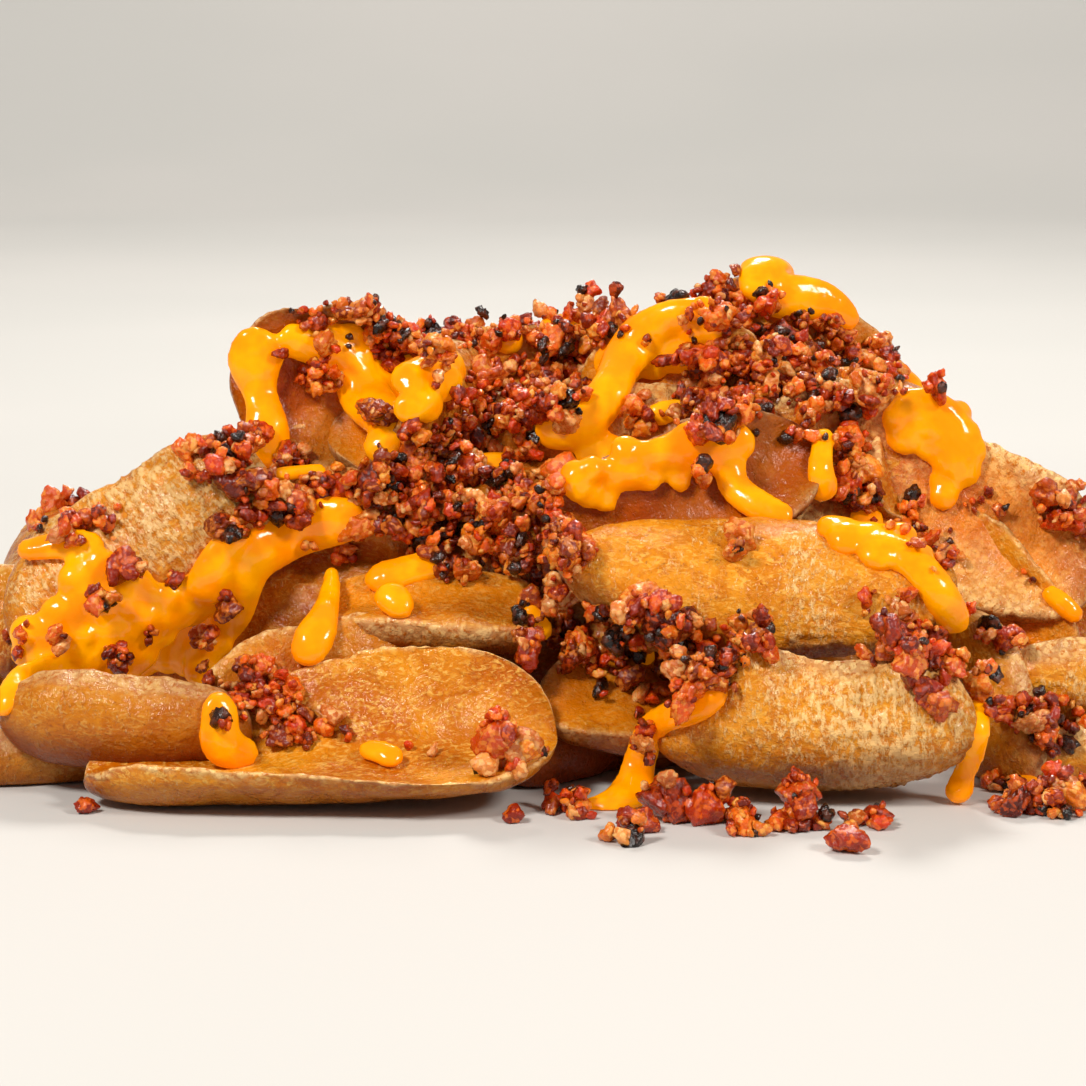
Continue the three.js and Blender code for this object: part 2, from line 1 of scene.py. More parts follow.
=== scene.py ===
"""Loaded potato wedges: a heap of curved potato slices with their skin on, under runs of thick
cheese sauce and bacon crumbs, as a Blender add-on.

The panel "Loaded Wedges" in the 3D view's sidebar has one button for each group of pieces. Lengths
in the tables are in millimetres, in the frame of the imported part: +Z up, +Y away from the front.
Everything that is placed or displaced at random is seeded, so each run gives the same heap.
"""

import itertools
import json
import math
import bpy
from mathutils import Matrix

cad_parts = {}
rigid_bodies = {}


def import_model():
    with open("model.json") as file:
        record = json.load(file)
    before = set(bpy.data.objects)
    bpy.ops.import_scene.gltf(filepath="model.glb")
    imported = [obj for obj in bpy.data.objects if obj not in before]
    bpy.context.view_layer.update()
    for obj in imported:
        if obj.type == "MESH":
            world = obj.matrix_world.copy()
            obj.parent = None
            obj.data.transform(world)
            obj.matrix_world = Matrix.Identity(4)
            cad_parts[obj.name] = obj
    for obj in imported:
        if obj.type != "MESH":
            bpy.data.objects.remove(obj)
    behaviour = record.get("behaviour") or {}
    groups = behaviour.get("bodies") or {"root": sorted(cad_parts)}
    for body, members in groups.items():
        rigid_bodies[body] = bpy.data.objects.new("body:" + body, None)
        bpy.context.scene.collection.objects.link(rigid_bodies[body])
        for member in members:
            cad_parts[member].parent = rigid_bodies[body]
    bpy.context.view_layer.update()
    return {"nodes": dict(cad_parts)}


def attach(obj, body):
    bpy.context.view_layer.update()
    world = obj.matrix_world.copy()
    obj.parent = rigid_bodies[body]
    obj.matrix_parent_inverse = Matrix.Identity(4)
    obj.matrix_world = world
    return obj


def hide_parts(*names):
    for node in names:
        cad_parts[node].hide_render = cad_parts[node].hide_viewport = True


bl_info = {
    "name": "Loaded Potato Wedges",
    "version": (1, 0, 0),
    "blender": (4, 5, 0),
    "location": "View3D > Sidebar > Loaded Wedges",
    "description": "Builds a heap of potato slices with cheese sauce and bacon crumbs",
    "category": "Object",
}

import bmesh
import bpy
import numpy as np
from mathutils import Vector
from mathutils.bvhtree import BVHTree

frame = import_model()

MM = 0.001
HEAP_LONG = 250
HEAP_DEEP = 176
HEAP_MIDDLE_Y = 16

# Each slice that shows: at is its middle, turn its heading, climb and roll in degrees. blister, oily, tone,
# rim and pale are for the look: how blistered its skin and rim are, how much oil has soaked into the cut
# face, how brown it is, where a high tone on slices in shadow is painted shade, how broad its pale rim is,
# and where along it, and over what reach, its skin has pale flakes.
SLICES = {
    "front_dish": dict(at=(-43, -67, 9.2), turn=(4, 5, 26), long=92, wide=34, thick=8, sag=11,
                       bend=3, taper=0.15, twist=22, tip=3, blister=0.35, oily=0.15, rim=0.1,
                       fine=2),
    "front_scoop": dict(at=(53.2, -68, 15.2), turn=(-6, 3, -60), long=62, wide=31, thick=11, sag=9,
                        bend=2, twist=-8, lip=0.36, lip_at=-0.42, notch=0.35, dip=0.2, blister=0.9, oily=0.2,
                        pale=(0.4, 0.65), fine=2),
    "big_back": dict(at=(41.6, -46, 36.5), turn=(-2, -4, -130), long=79, wide=30, thick=13, sag=4,
                     bend=-4, taper=0.2, tip=2.0, blister=0.5, oily=0.0, pale=(0.3, 0.6), fine=2),
    "left_boat": dict(at=(-81.2, -58, 15.8), turn=(-3, -3, -65), long=50, wide=20, thick=12, sag=3,
                      bend=1, taper=-0.1, tip=3.2, blister=0.2, oily=0.4, tone=0.5, fine=1),
    "left_low": dict(at=(-107, -46, 5.2), turn=(6, 2, -35), long=60, wide=20, thick=11, sag=3, bend=1,
                     blister=0.3, oily=0.6, tone=0.4),
    "front_tile": dict(at=(-46, -56, 19.5), turn=(14, 18, 60), long=44, wide=27, thick=9, sag=3,
                       tip=3.5, blister=0.3, oily=0.5, tone=0.3, fine=1),
    "left_skin": dict(at=(-82, -26, 41.2), turn=(12, 36, -112), long=62, wide=33, thick=9, sag=5,
                      bend=-3, tip=3, blister=0.7, oily=0.2, tone=0.2, fine=2),
    "left_far": dict(at=(-112, -8, 25.5), turn=(5, 0, 55), long=56, wide=22, thick=12, sag=3,
                     blister=0.4, oily=0.3),
    "crest_scoop": dict(at=(-42.5, -2, 72), turn=(12, -14, 80), long=47, wide=34, thick=9, sag=8,
                        bend=2, tip=3.8, blister=0.4, oily=0.9, tone=0.5, fine=1),
    # middle_scoop's hollow lies in shade: its high tone is partly painted shade.
    "middle_scoop": dict(at=(28, -36, 52.8), turn=(12, 24, 66), long=62, wide=30, thick=10, sag=8,
                         bend=2, blister=0.4, oily=1.0, tone=0.65, fine=1),
    "right_scoop": dict(at=(80.3, -19, 51.2), turn=(-6, -25, 66), long=76, wide=36, thick=10, sag=5,
                        bend=3, tip=3, blister=1.0, oily=1.0, tone=0.0, rim=0.6, fine=2),
    "under_right": dict(at=(93.8, -24, 30.3), turn=(-20, -55, 75), long=46, wide=24, thick=10, sag=4,
                        blister=0.4, oily=0.6),
    "right_end": dict(at=(110, -12, 26), turn=(-20, -42, 60), long=42, wide=20, thick=10, sag=4,
                      blister=0.5, oily=0.3),
    "right_edge": dict(at=(114, -36, 19), turn=(5, 0, -40), long=52, wide=26, thick=13, sag=4, tip=3.2,
                       blister=0.6, oily=0.1, fine=1),
    "right_post": dict(at=(92.8, -42, 13.6), turn=(-60, -62, -80), long=40, wide=24, thick=10, sag=4,
                       blister=0.4, oily=0.5, tone=0.3),
    "right_low": dict(at=(112, -44, 6), turn=(10, 0, -30), long=50, wide=20, thick=11, sag=4,
                      blister=0.3, oily=0.5, tone=0.3),
    # dark_low lies in shadow under the middle of the heap: its high tone is painted shade.
    "dark_low": dict(at=(6.5, -38, 7), turn=(50, 0, -50), long=46, wide=24, thick=12, sag=5,
                     blister=0.2, oily=0.7, tone=0.9),
    "behind_scoop": dict(at=(22.3, -50, 16.8), turn=(20, -5, 35), long=48, wide=24, thick=10, sag=4,
                         blister=0.3, oily=0.6, tone=0.4),
    "middle_left": dict(at=(-22.7, -42, 34.7), turn=(-8, -2, 20), long=46, wide=22, thick=10, sag=4,
                        tip=3.2, blister=0.4, oily=0.4, tone=0.2),
    "crest_middle": dict(at=(27.2, 0, 74.5), turn=(-20, 8, 70), long=44, wide=26, thick=10, sag=5,
                         blister=0.3, oily=0.6),
    "peak": dict(at=(58, 20, 76.5), turn=(10, -26, 60), long=54, wide=28, thick=11, sag=6,
                 blister=0.3, oily=0.7),
    "crest_back": dict(at=(-8.2, 14, 72.5), turn=(5, 0, 50), long=60, wide=26, thick=10, sag=5,
                       blister=0.3, oily=0.5),
}
FINENESS = {0: (96, 64), 1: (150, 96), 2: (220, 128)}
BURIED_FINENESS = (72, 48)
CORE_FINENESS = (90, 220)
SLICES_IN_A_PIECE = 12

# Lowest height of potato and crumbs, and of sauce, clear of the floor, and how soft the corner is
# where a slice meets it.
LOWEST = 0.15
FLOOR_CORNER = 0.7
LOWEST_SAUCE = 0.2

# The rings of buried slices: how many, at what height, how long and deep the ring is, its middle x.
RINGS = [
    (12, 9, HEAP_LONG - 6, HEAP_DEEP - 12, 0),
    (10, 25, HEAP_LONG - 26, HEAP_DEEP - 36, 4),
    (8, 40, HEAP_LONG - 84, HEAP_DEEP - 68, 12),
    (6, 55, HEAP_LONG - 122, HEAP_DEEP - 100, 16),
    (4, 63, HEAP_LONG - 164, HEAP_DEEP - 132, 20),
]
LEANS = (-130, 50, -62, -135, -118, 62, -55, -125)
CORE = dict(long=208, deep=116, high=66, x=6, y=HEAP_MIDDLE_Y, square=2.3)

# Sauce and crumbs are laid from two places: each sheet has an eye, and carries a pair of numbers
# to a point on it.
FRONT = ((0, -677, 159), lambda a, b: (a, -75, b))
ABOVE = ((0, HEAP_MIDDLE_Y, 900), lambda a, b: (a, b, 100))
DOWN = ((0, HEAP_MIDDLE_Y, 900), lambda a, b: (a, b, 0))
FLOOR_BEFORE = 176
FLOOR_BEHIND = 123

# Distance between the rings of a run of sauce, corners round it, and between the blobs of a pool.
RUN_STEP = 0.9
RUN_SIDES = 20
BLOB_STEP = 3.2

# Runs of sauce: the sheet, and the places that a run passes with how wide it looks there.
SAUCE_RUNS = [
    (FRONT, [(-53, 99, 5.6), (-53, 94, 8.6), (-54, 89, 9.4), (-54, 85, 8.3), (-53, 80, 6.4),
             (-52, 75, 7.5), (-52, 70, 8.3), (-50, 66, 8.3)]),
    (FRONT, [(-51, 93, 7.5), (-44, 90, 6.4), (-38, 88, 7.5), (-35, 84, 7.5), (-33, 79, 8.6),
             (-30, 77, 8.3), (-29, 73, 6.4), (-32, 69, 5.7), (-33, 67, 4.5)]),
    (FRONT, [(-56, 96, 4), (-53, 97.5, 6), (-48, 98, 6), (-42, 96.5, 5)]),
    (FRONT, [(-27, 86, 4.1), (-22, 85, 5.3), (-17, 84, 5.6), (-16, 80, 4.5)]),
    (FRONT, [(-11, 91, 4.1), (-7, 91, 5.6), (-2, 92, 6)]),
    (FRONT, [(-52, 65, 3), (-46, 66, 3.4), (-39, 66, 3.4)]),
    (FRONT, [(-32, 57, 8.3), (-38, 57, 9.5), (-45, 56, 9.8), (-51, 53, 9.1), (-55, 50, 8.7),
             (-58, 45, 8.7), (-59, 40, 8.4), (-60, 36, 7.2), (-61, 32, 5.3)]),
    (FRONT, [(-55, 57, 5.3), (-59, 53, 6.4), (-62, 49, 6.8), (-64, 44, 7.6), (-66, 40, 8.4)]),
    (FRONT, [(-86, 30, 5), (-93, 29, 5), (-98, 28, 5.3), (-101, 24, 5), (-103, 21, 4.6), (-104, 17, 3.4)]),
    (FRONT, [(-65, 24, 5.3), (-62, 21, 6.5), (-62, 17, 6.9), (-62, 13, 7.3), (-58, 12, 6.1),
             (-53, 11, 3.8)]),
    (FRONT, [(-40, 49, 2.3), (-40, 45, 3.4), (-41, 40, 4.9), (-43, 35, 6.5), (-45, 31, 6.5),
             (-46, 27, 4.6)]),
    (FRONT, [(-17, 49, 3), (-20, 48, 5.7), (-26, 47, 6.1), (-31, 45, 6.5), (-35, 47, 3.8)]),
    (FRONT, [(-32, 45, 5.7), (-29, 42, 6.8), (-26, 39, 5.3), (-26, 36, 3)]),
    (FRONT, [(-37, 12, 2.7), (-32, 12, 4.6), (-29, 11, 5), (-26, 8, 3.5)]),
    (FRONT, [(-103, 51, 3), (-97, 51, 4.5), (-92, 52, 5.3), (-85, 52, 4.9), (-82, 50, 3)]),
    (FRONT, [(35, 90, 3), (32, 94, 5.2), (28, 96, 6), (23, 95, 6.4), (19, 92, 7.5), (15, 87, 7.9),
             (13, 82, 7.5), (10, 78, 8.3), (6, 75, 8.7), (1, 74, 7.2), (-3, 73, 4.1)]),
    (FRONT, [(41, 74, 4.9), (37, 72, 7.5), (30, 70, 7.2), (24, 70, 6.4), (18, 69, 5.3), (15, 67, 4.2),
             (13, 63, 3.8), (11, 60, 4.5), (11, 57, 4.2)]),
    (FRONT, [(37, 71, 6.8), (35, 67, 5.7), (36, 63, 5.7), (40, 60, 5.7), (44, 58, 5.3), (49, 57, 4.9)]),
    (FRONT, [(23, 69, 3), (25, 65, 3.8), (27, 63, 3.8), (29, 65, 2.6)]),
    (FRONT, [(53, 76, 3.4), (53, 72, 4.1), (52, 67, 4.9), (53, 63, 5.7), (54, 59, 6.8)]),
    (FRONT, [(64, 78, 3.8), (70, 79, 6.4), (74, 77, 7.9), (77, 72, 8.7), (78, 67, 9.1), (80, 62, 7.6)]),
    (FRONT, [(50, 56, 4.9), (56, 55, 5.7), (62, 53, 5.7), (67, 51, 6.1), (72, 47, 6.5), (75, 43, 6.8),
             (78, 38, 6.8), (80, 34, 6.5)]),
    (FRONT, [(-4, 42, 3), (-2, 38, 3.8), (0, 35, 4.6), (1, 32, 4.2)]),
    (FRONT, [(12, 34, 2.7), (15, 33, 4.2), (19, 31, 4.2), (22, 28, 3.1)]),
    (FRONT, [(37, 24, 3.8), (33, 23, 5.7), (29, 20, 6.1), (25, 19, 6.1), (21, 17, 5.7), (19, 12, 5.7),
             (18, 8, 6.1), (17, 3, 7.3), (12, 1, 5.4), (6, 1, 3.1)]),
    (FRONT, [(-6, 1, 1.9), (-3, 1, 2.3)]),
    (FRONT, [(37, 101, 4.9), (41, 100, 7.1), (46, 99, 7.9), (51, 99, 6.7), (56, 96, 6), (59, 92, 4.9)]),
    (FRONT, [(84, 26, 4), (83, 20, 4.6), (83, 14, 4.8), (81, 8, 4.8), (80, 3, 5.6), (77, 1, 5)]),
    (FRONT, [(85, 30, 4.2), (88, 29, 5.3)]),
    (FRONT, [(94, 45, 2.3), (97, 42, 3.8), (101, 39, 3.8), (103, 36, 3)]),
    (FRONT, [(88, 6, 1.9), (93, 6, 3.5), (97, 5, 2.3)]),
    (FRONT, [(-15, 67, 2.6), (-10, 68, 4.1), (-4, 68, 2.6)]),
    (FRONT, [(3, 65, 4.9), (7, 63, 6), (11, 61, 4.5)]),
    (FRONT, [(18, 76, 4.5), (25, 78, 4.1), (32, 79, 3)]),
    (ABOVE, [(44, 14, 8), (50, 34, 10), (44, 52, 8), (52, 70, 9), (62, 88, 7)]),
    (ABOVE, [(-50, 4, 8), (-44, 24, 10), (-56, 44, 8), (-48, 66, 9)]),
    (ABOVE, [(2, 16, 9), (6, 36, 8), (-6, 52, 10), (0, 76, 8), (-10, 96, 8)]),
    (ABOVE, [(70, 6, 8), (86, 22, 9), (92, 40, 8), (104, 52, 7)]),
    (ABOVE, [(-80, -6, 8), (-88, 18, 9), (-78, 38, 8), (-92, 54, 7)]),
]

# Places where sauce lies in a pool: corners of each area on the front sheet.
SAUCE_POOLS = [
    [(-90, 47), (-84, 49), (-74, 43), (-66, 46), (-60, 46), (-59, 33), (-66, 26), (-80, 28),
     (-90, 28), (-99, 30), (-98, 36), (-92, 41)],
    [(3, 66), (10, 72), (20, 71), (28, 74), (36, 74), (34, 69), (22, 66), (12, 62), (5, 60)],
    [(64, 80), (76, 81), (81, 73), (81, 61), (75, 61), (73, 71), (65, 74)],
    [(52, 54), (62, 57), (70, 54), (74, 47), (66, 48), (58, 52)],
    [(-50, 98), (-36, 91), (-30, 84), (-24, 87), (-16, 86), (-20, 79), (-29, 76), (-38, 85)],
    [(20, 97), (30, 99), (34, 92), (26, 88), (18, 84), (12, 86)],
]

# Piles of crumbs by sheet: the middle, half the width and height, and how thickly they lie.
CRUMB_PILES = {
    "front": (FRONT, [
        (-42, 96, 6, 4, 1), (-36, 90, 5, 3, 1), (-27, 90, 6, 4, 1.1), (-20, 89, 3, 3, 0.9),
        (-42, 85, 5, 3, 0.9), (-50, 89, 5, 1, 0.6), (-48, 69, 4, 2, 0.9), (-61, 69, 6, 3, 1),
        (-39, 63, 18, 3, 1), (-23, 70, 9, 7, 1.1), (-21, 57, 12, 6, 1.1), (-10, 73, 9, 7, 1.1),
        (-6, 55, 9, 8, 1.1), (-14, 81, 8, 6, 1.1), (1, 84, 8, 5, 1.1), (3, 49, 4, 8, 1),
        (-17, 48, 9, 3, 0.8), (-46, 59, 6, 2, 0.4), (-40, 52, 6, 2, 0.8), (14, 93, 7, 4, 1.1),
        (33, 95, 7, 6, 1.1), (41, 87, 12, 6, 1.1), (58, 85, 10, 5, 1.1), (67, 84, 6, 4, 1),
        (75, 81, 4, 3, 0.9), (25, 78, 12, 3, 0.9), (37, 79, 8, 3, 1.1), (49, 80, 8, 4, 1.1),
        (34, 74, 6, 2, 0.8), (47, 74, 4, 2, 0.7), (29, 87, 5, 3, 0.8), (-4, 92, 4, 2, 0.5),
        (44, 98, 7, 3, 0.5), (5, 91, 6, 4, 1), (60, 61, 5, 3, 1), (64, 57, 5, 2, 0.9),
        (69, 60, 3, 2, 0.8), (70, 53, 8, 3, 1), (76, 50, 4, 3, 1), (65, 41, 5, 3, 1),
        (70, 35, 6, 3, 0.9), (18, 39, 9, 4, 1), (10, 31, 6, 5, 1), (20, 33, 7, 3, 0.9),
        (28, 35, 6, 3, 1), (31, 29, 8, 3, 1), (19, 24, 6, 2, 0.8), (30, 24, 6, 2, 0.7),
        (4, 34, 3, 6, 0.8), (-3, 37, 3, 5, 0.8), (38, 33, 5, 2, 0.9), (19, 16, 2, 4, 0.8),
        (11, 24, 2, 2, 0.7), (-53, 24, 7, 4, 1.1), (-48, 18, 8, 5, 1), (-43, 15, 7, 2, 0.8),
        (-59, 18, 3, 3, 0.8), (-56, 28, 4, 2, 0.8), (-25, 12, 4, 2, 0.7), (-91, 56, 5, 3, 0.9),
        (-82, 58, 3, 2, 0.8), (-87, 53, 6, 2, 0.6), (-100, 34, 3, 4, 0.7), (-64, 27, 4, 2, 0.8),
        (-58, 55, 5, 2, 0.6), (-55, 58, 5, 2, 0.6), (88, 34, 5, 3, 0.9), (97, 20, 6, 3, 0.9),
        (100, 17, 4, 2, 0.8), (98, 60, 6, 4, 1), (101, 56, 3, 3, 0.8), (97, 14, 4, 2, 0.7),
        (-84, 42, 1.7, 1.7, 3), (-75, 35, 1.3, 1.3, 3), (-81, 31, 1.9, 1.9, 3), (-92, 34, 1, 1, 3),
        (-64, 34, 1.2, 1.2, 3), (-70, 46, 1.2, 1.2, 3), (-78, 47, 1.2, 1.2, 3),
        (-57, 55, 1.2, 1.2, 3), (37, 52, 1.4, 1.4, 3), (-46, 60, 1.3, 1.3, 3),
        (-49, 69, 1.5, 1.5, 3), (-32, 78, 1.4, 1.4, 3), (-49, 89, 1.3, 1.3, 3),
        (-42, 85, 1.5, 1.5, 3), (-60, 42, 1, 1, 3), (-42, 65, 1.2, 1.2, 3), (30, 67, 1.4, 1.4, 3),
        (32, 74, 1.5, 1.5, 3), (70, 31, 1.2, 1.2, 3), (3, 57, 1.3, 1.3, 3),
        (-47, 99, 5, 2, 1), (-40, 99, 5, 3, 1), (-30, 96, 6, 3, 1), (-24, 93, 6, 3, 1),
        (-34, 99, 4, 2, 0.9), (-15, 91, 5, 3, 0.9), (-9, 94, 5, 2, 0.9),
        (0, 62, 8, 4, 1), (-30, 66, 8, 4, 1), (4, 80, 4, 3, 0.9),
        (50, 92, 9, 4, 1), (56, 78, 7, 3, 1), (62, 90, 5, 3, 0.9), (-12, 64, 9, 5, 1),
        (6, 52, 4, 4, 0.9), (-56, 74, 4, 3, 0.8), (-66, 66, 4, 2, 0.8), (84, 60, 5, 3, 0.6),
        (56, 70, 5, 4, 0.9), (-2, 78, 6, 4, 1), (92, 46, 3, 2, 0.6),
    ]),
    "floor": (DOWN, [
        (-8, -81, 5, 3, 1), (3, -74, 4, 3, 1), (7, -79, 3, 2, 0.8), (15, -98, 4, 2.5, 1),
        (30, -81, 9, 4, 1), (37, -91, 4, 3, 0.9), (47, -86, 7, 4.5, 1), (42, -76, 4, 3, 0.9),
        (54, -90, 3, 2, 0.8), (62, -85, 4, 3, 0.9), (69, -73, 6, 4, 1), (75, -79, 4, 3, 0.9),
        (81, -74, 5, 3, 1), (87, -72, 6, 4, 1), (92, -77, 6, 3, 1), (99, -77, 6, 4, 1),
        (106, -70, 6, 4, 1), (91, -58, 6, 3, 0.8), (98, -56, 5, 3, 0.8),
    ]),
    "back": (ABOVE, [
        (-4, 48, 26, 10, 0.5), (50, 50, 20, 16, 0.5), (-46, 50, 14, 13, 0.5), (4, 80, 16, 11, 0.5),
        (94, 46, 11, 11, 0.5), (-94, 48, 11, 10, 0.5), (20, 14, 40, 10, 0.5), (-30, 18, 20, 10, 0.5),
    ]),
}
HIGHEST_CRUMB = 98.5
ON_SAUCE = 1
KEPT_ON_SAUCE = 0.3
LONE_CRUMBS = [(17, -90, 7), (56, -104, 6.5), (-88, -76, 4)]

# Kinds of crumb: the kind's share of all, its dark, middle and light shade from 0 to 255, where the
# middle one may be a colour of the settings, and how much light goes through it.
CRUMB_KINDS = {
    "bacon_dark_meat": (0.17, (84, 14, 0), (150, 36, 2), (216, 84, 16), 0.15),
    "bacon_red_meat": (0.19, (140, 30, 0), "meat", (244, 116, 26), 0.2),
    "bacon_brown_meat": (0.15, (124, 36, 0), (192, 74, 8), (240, 142, 50), 0.2),
    "bacon_fat": (0.17, (196, 66, 0), "fat", (250, 166, 70), 0.25),
    "bacon_amber_fat": (0.14, (196, 84, 4), (236, 128, 20), (252, 186, 90), 0.25),
    "bacon_pale_fat": (0.11, (196, 98, 30), (232, 144, 62), (252, 200, 130), 0.25),
    "bacon_charred": (0.07, (18, 7, 4), "charred", (104, 44, 18), 0.05),
}

# Layers of crumbs from the bottom up: the setting for how many, the layer's share of it, their size,
# how finely a crumb's ball is split, how far its grains stand out and how deep it sinks in.
CRUMB_LAYERS = [
    ("medium", 0.5, 3.8, 3, 0.35, 0.1), ("large", 1, 5.8, 4, 0.4, 0.1),
    ("medium", 0.5, 3.0, 3, 0.35, 0.05), ("fine", 1, 1.7, 2, 0.15, 0.0),
]
LAYERS_THAT_CARRY = 2
LAYER_WITH_LONE_CRUMBS = 1

# The stage, in metres: lights with their place, what they point at, their size and their power as a
# share of the key light's, and the camera.
HEAP = (0, 0, 0.04)
LIGHTS = {
    "key": ((-0.6, -0.75, 0.95), HEAP, 0.25, 1),
    "fill": ((0.8, -0.65, 0.75), HEAP, 0.25, 0.6),
    "back": ((0.1, 0.75, 1.0), HEAP, 0.3, 0.7),
    "backdrop": ((0, 1.2, 1.6), (0, 2.4, 0.5), 1.2, 1.6),
}
FLOOR_SIDES = 96
CAMERA = dict(place=(0, -0.6766, 0.1586), tilt=80, lens=106.9)


# ---------- settings ----------


def colour(red, green, blue):
    """A colour from its usual 0 to 255 values, as Blender wants it."""
    def channel(value):
        value /= 255
        return value / 12.92 if value <= 0.04045 else ((value + 0.055) / 1.055) ** 2.4
    return (channel(red), channel(green), channel(blue), 1)


def paint(name, description, *shade):
    """A property for a colour, with its default from 0 to 255."""
    return bpy.props.FloatVectorProperty(name=name, description=description, default=colour(*shade),
                                         size=4, min=0, max=1, subtype="COLOR")


def amount(name, description, default, least=0, **more):
    """A property for a number that is never below the least."""
    return bpy.props.FloatProperty(name=name, description=description, default=default, min=least, **more)


def length(name, description, default, least=0):
    """A property for a length in metres."""
    return amount(name, description, default, least, subtype="DISTANCE", unit="LENGTH")


class WedgeSettings(bpy.types.PropertyGroup):
    """How the potato slices look."""

    lump: length("Lumps", "How far a slice swells in and out", 0.0006)
    blister: length("Blisters", "Height of the blisters on the skin", 0.0007)
    rim: length("Rough rim", "How far the rim between cut face and skin is torn", 0.0006)
    cut: paint("Cut face", "Golden colour of the cut faces", 225, 144, 16)
    skin: paint("Skin", "Lighter colour of the fried skin", 229, 146, 22)
    rim_colour: paint("Rim", "Pale colour of the rims and of the flakes on the skin", 250, 208, 138)


class SauceSettings(bpy.types.PropertyGroup):
    """How the cheese sauce is shaped."""

    cell: length("Cell", "Size of the cells that join the runs into one surface", 0.0008, 0.0004)
    smoothing: bpy.props.IntProperty(
        name="Smoothing", description="How often the joined surface is evened out", default=4, min=0)
    colour: paint("Sauce", "Colour of the cheese sauce", 255, 170, 0)


class CrumbSettings(bpy.types.PropertyGroup):
    """How many bacon crumbs there are for each square millimetre of a pile, and their colours."""

    large: amount("Large", "Crumbs 4 to 8 mm across, for each square millimetre", 0.085)
    medium: amount("Medium", "Crumbs 2 to 5 mm across, for each square millimetre", 0.55)
    fine: amount("Fine", "Crumbs 1 to 2 mm across, for each square millimetre", 0.6)
    meat: paint("Meat", "Colour of the red meat crumbs", 212, 58, 2)
    fat: paint("Fat", "Colour of the crumbs that are mostly fat", 244, 108, 10)
    charred: paint("Charred", "Colour of the charred crumbs", 50, 19, 8)


class StageSettings(bpy.types.PropertyGroup):
    """Floor and light."""

    key: amount("Key light", "Power of the main light", 13.2, unit="POWER")
    sky: amount("Sky", "Strength of the even light from all round", 0.24)
    floor: paint("Floor", "Colour of the floor", 206, 204, 201)


# ---------- numbers at random, and noise ----------


def chance(seed):
    """A repeatable number from 0 to 1 for each seed."""
    return (math.sin(seed * 12.9898 + 4.1) * 43758.5453) % 1


def hashed(cells, seed):
    """A repeatable number from 0 to 1 for each row of three whole numbers."""
    x, y, z = (cells[..., axis].astype(np.int64).astype(np.uint32) for axis in range(3))
    mixed = x * np.uint32(73856093) ^ y * np.uint32(19349663) ^ z * np.uint32(83492791)
    mixed = mixed ^ np.uint32((seed * 668265263) & 0xFFFFFFFF)
    mixed = (mixed ^ (mixed >> np.uint32(15))) * np.uint32(2246822519)
    mixed = (mixed ^ (mixed >> np.uint32(13))) * np.uint32(3266489917)
    return (mixed ^ (mixed >> np.uint32(16))) / 2.0**32


def swell(points, size, seed):
    """Smooth noise from -1 to 1: a random value at each corner of cells of the given size, blended
    across the cell by 3t^2 - 2t^3."""
    scaled = points / size
    cell = np.floor(scaled)
    part = scaled - cell
    part = part * part * (3 - 2 * part)
    total = np.zeros(points.shape[:-1])
    for corner in itertools.product((0, 1), repeat=3):
        share = np.prod(np.where(np.array(corner) == 1, part, 1 - part), axis=-1)
        total += share * hashed(cell + np.array(corner), seed)
    return 2 * total - 1


def rough(points, size, seed, octaves=4):
    """Several swells, each half as wide and half as high as the one before, added up."""
    return sum(swell(points, size / 2**octave, seed + octave) / 2**octave for octave in range(octaves))


def grains(points, size, seed):
    """For scattered grains, one in each cell of the given size: how far each point is from the
    nearest grain, in cells, and that grain's own number from 0 to 1."""
    scaled = points / size
    cell = np.floor(scaled)
    nearest = np.full(points.shape[:-1], 9.0)
    own = np.zeros(points.shape[:-1])
    for step in itertools.product((-1, 0, 1), repeat=3):
        other = cell + np.array(step)
        middle = other + np.stack([hashed(other, seed + axis) for axis in range(3)], axis=-1)
        apart = np.linalg.norm(scaled - middle, axis=-1)
        closer = apart < nearest
        nearest = np.where(closer, apart, nearest)
        own = np.where(closer, hashed(other, seed + 7), own)
    return nearest, own


def eased(low, high, value):
    """0 below low and 1 above high, with a smooth rise between them."""
    part = np.clip((value - low) / (high - low), 0, 1)
    return part * part * (3 - 2 * part)


# ---------- meshes ----------


def tube_faces(rings, sides):
    """Four-sided faces between rings of points, wound so that they look outwards, with a fan to one
    point before the first ring and one after the last."""
    ring, side = np.meshgrid(np.arange(rings - 1), np.arange(sides), indexing="ij")
    after = (side + 1) % sides
    quads = 1 + np.stack([
        ring * sides + side, ring * sides + after, (ring + 1) * sides + after, (ring + 1) * sides + side,
    ], axis=-1).reshape(-1, 4)
    around = np.arange(sides)
    onwards = (around + 1) % sides
    last = 1 + (rings - 1) * sides
    end = np.full(sides, 1 + rings * sides)
    fans = np.concatenate([
        np.stack([np.zeros(sides, int), 1 + onwards, 1 + around], axis=-1),
        np.stack([end, last + around, last + onwards], axis=-1),
    ])
    return quads, fans


def joined(parts):
    """Points, faces and numbers of several closed surfaces as one."""
    points, faces, numbers, shift = [], [], {}, 0
    for own_points, own_faces, own_numbers in parts:
        points.append(own_points)
        faces.extend(face + shift for face in own_faces)
        shift += len(own_points)
        for label, values in own_numbers.items():
            numbers.setdefault(label, []).append(values)
    return np.concatenate(points), faces, {label: np.concatenate(v) for label, v in numbers.items()}


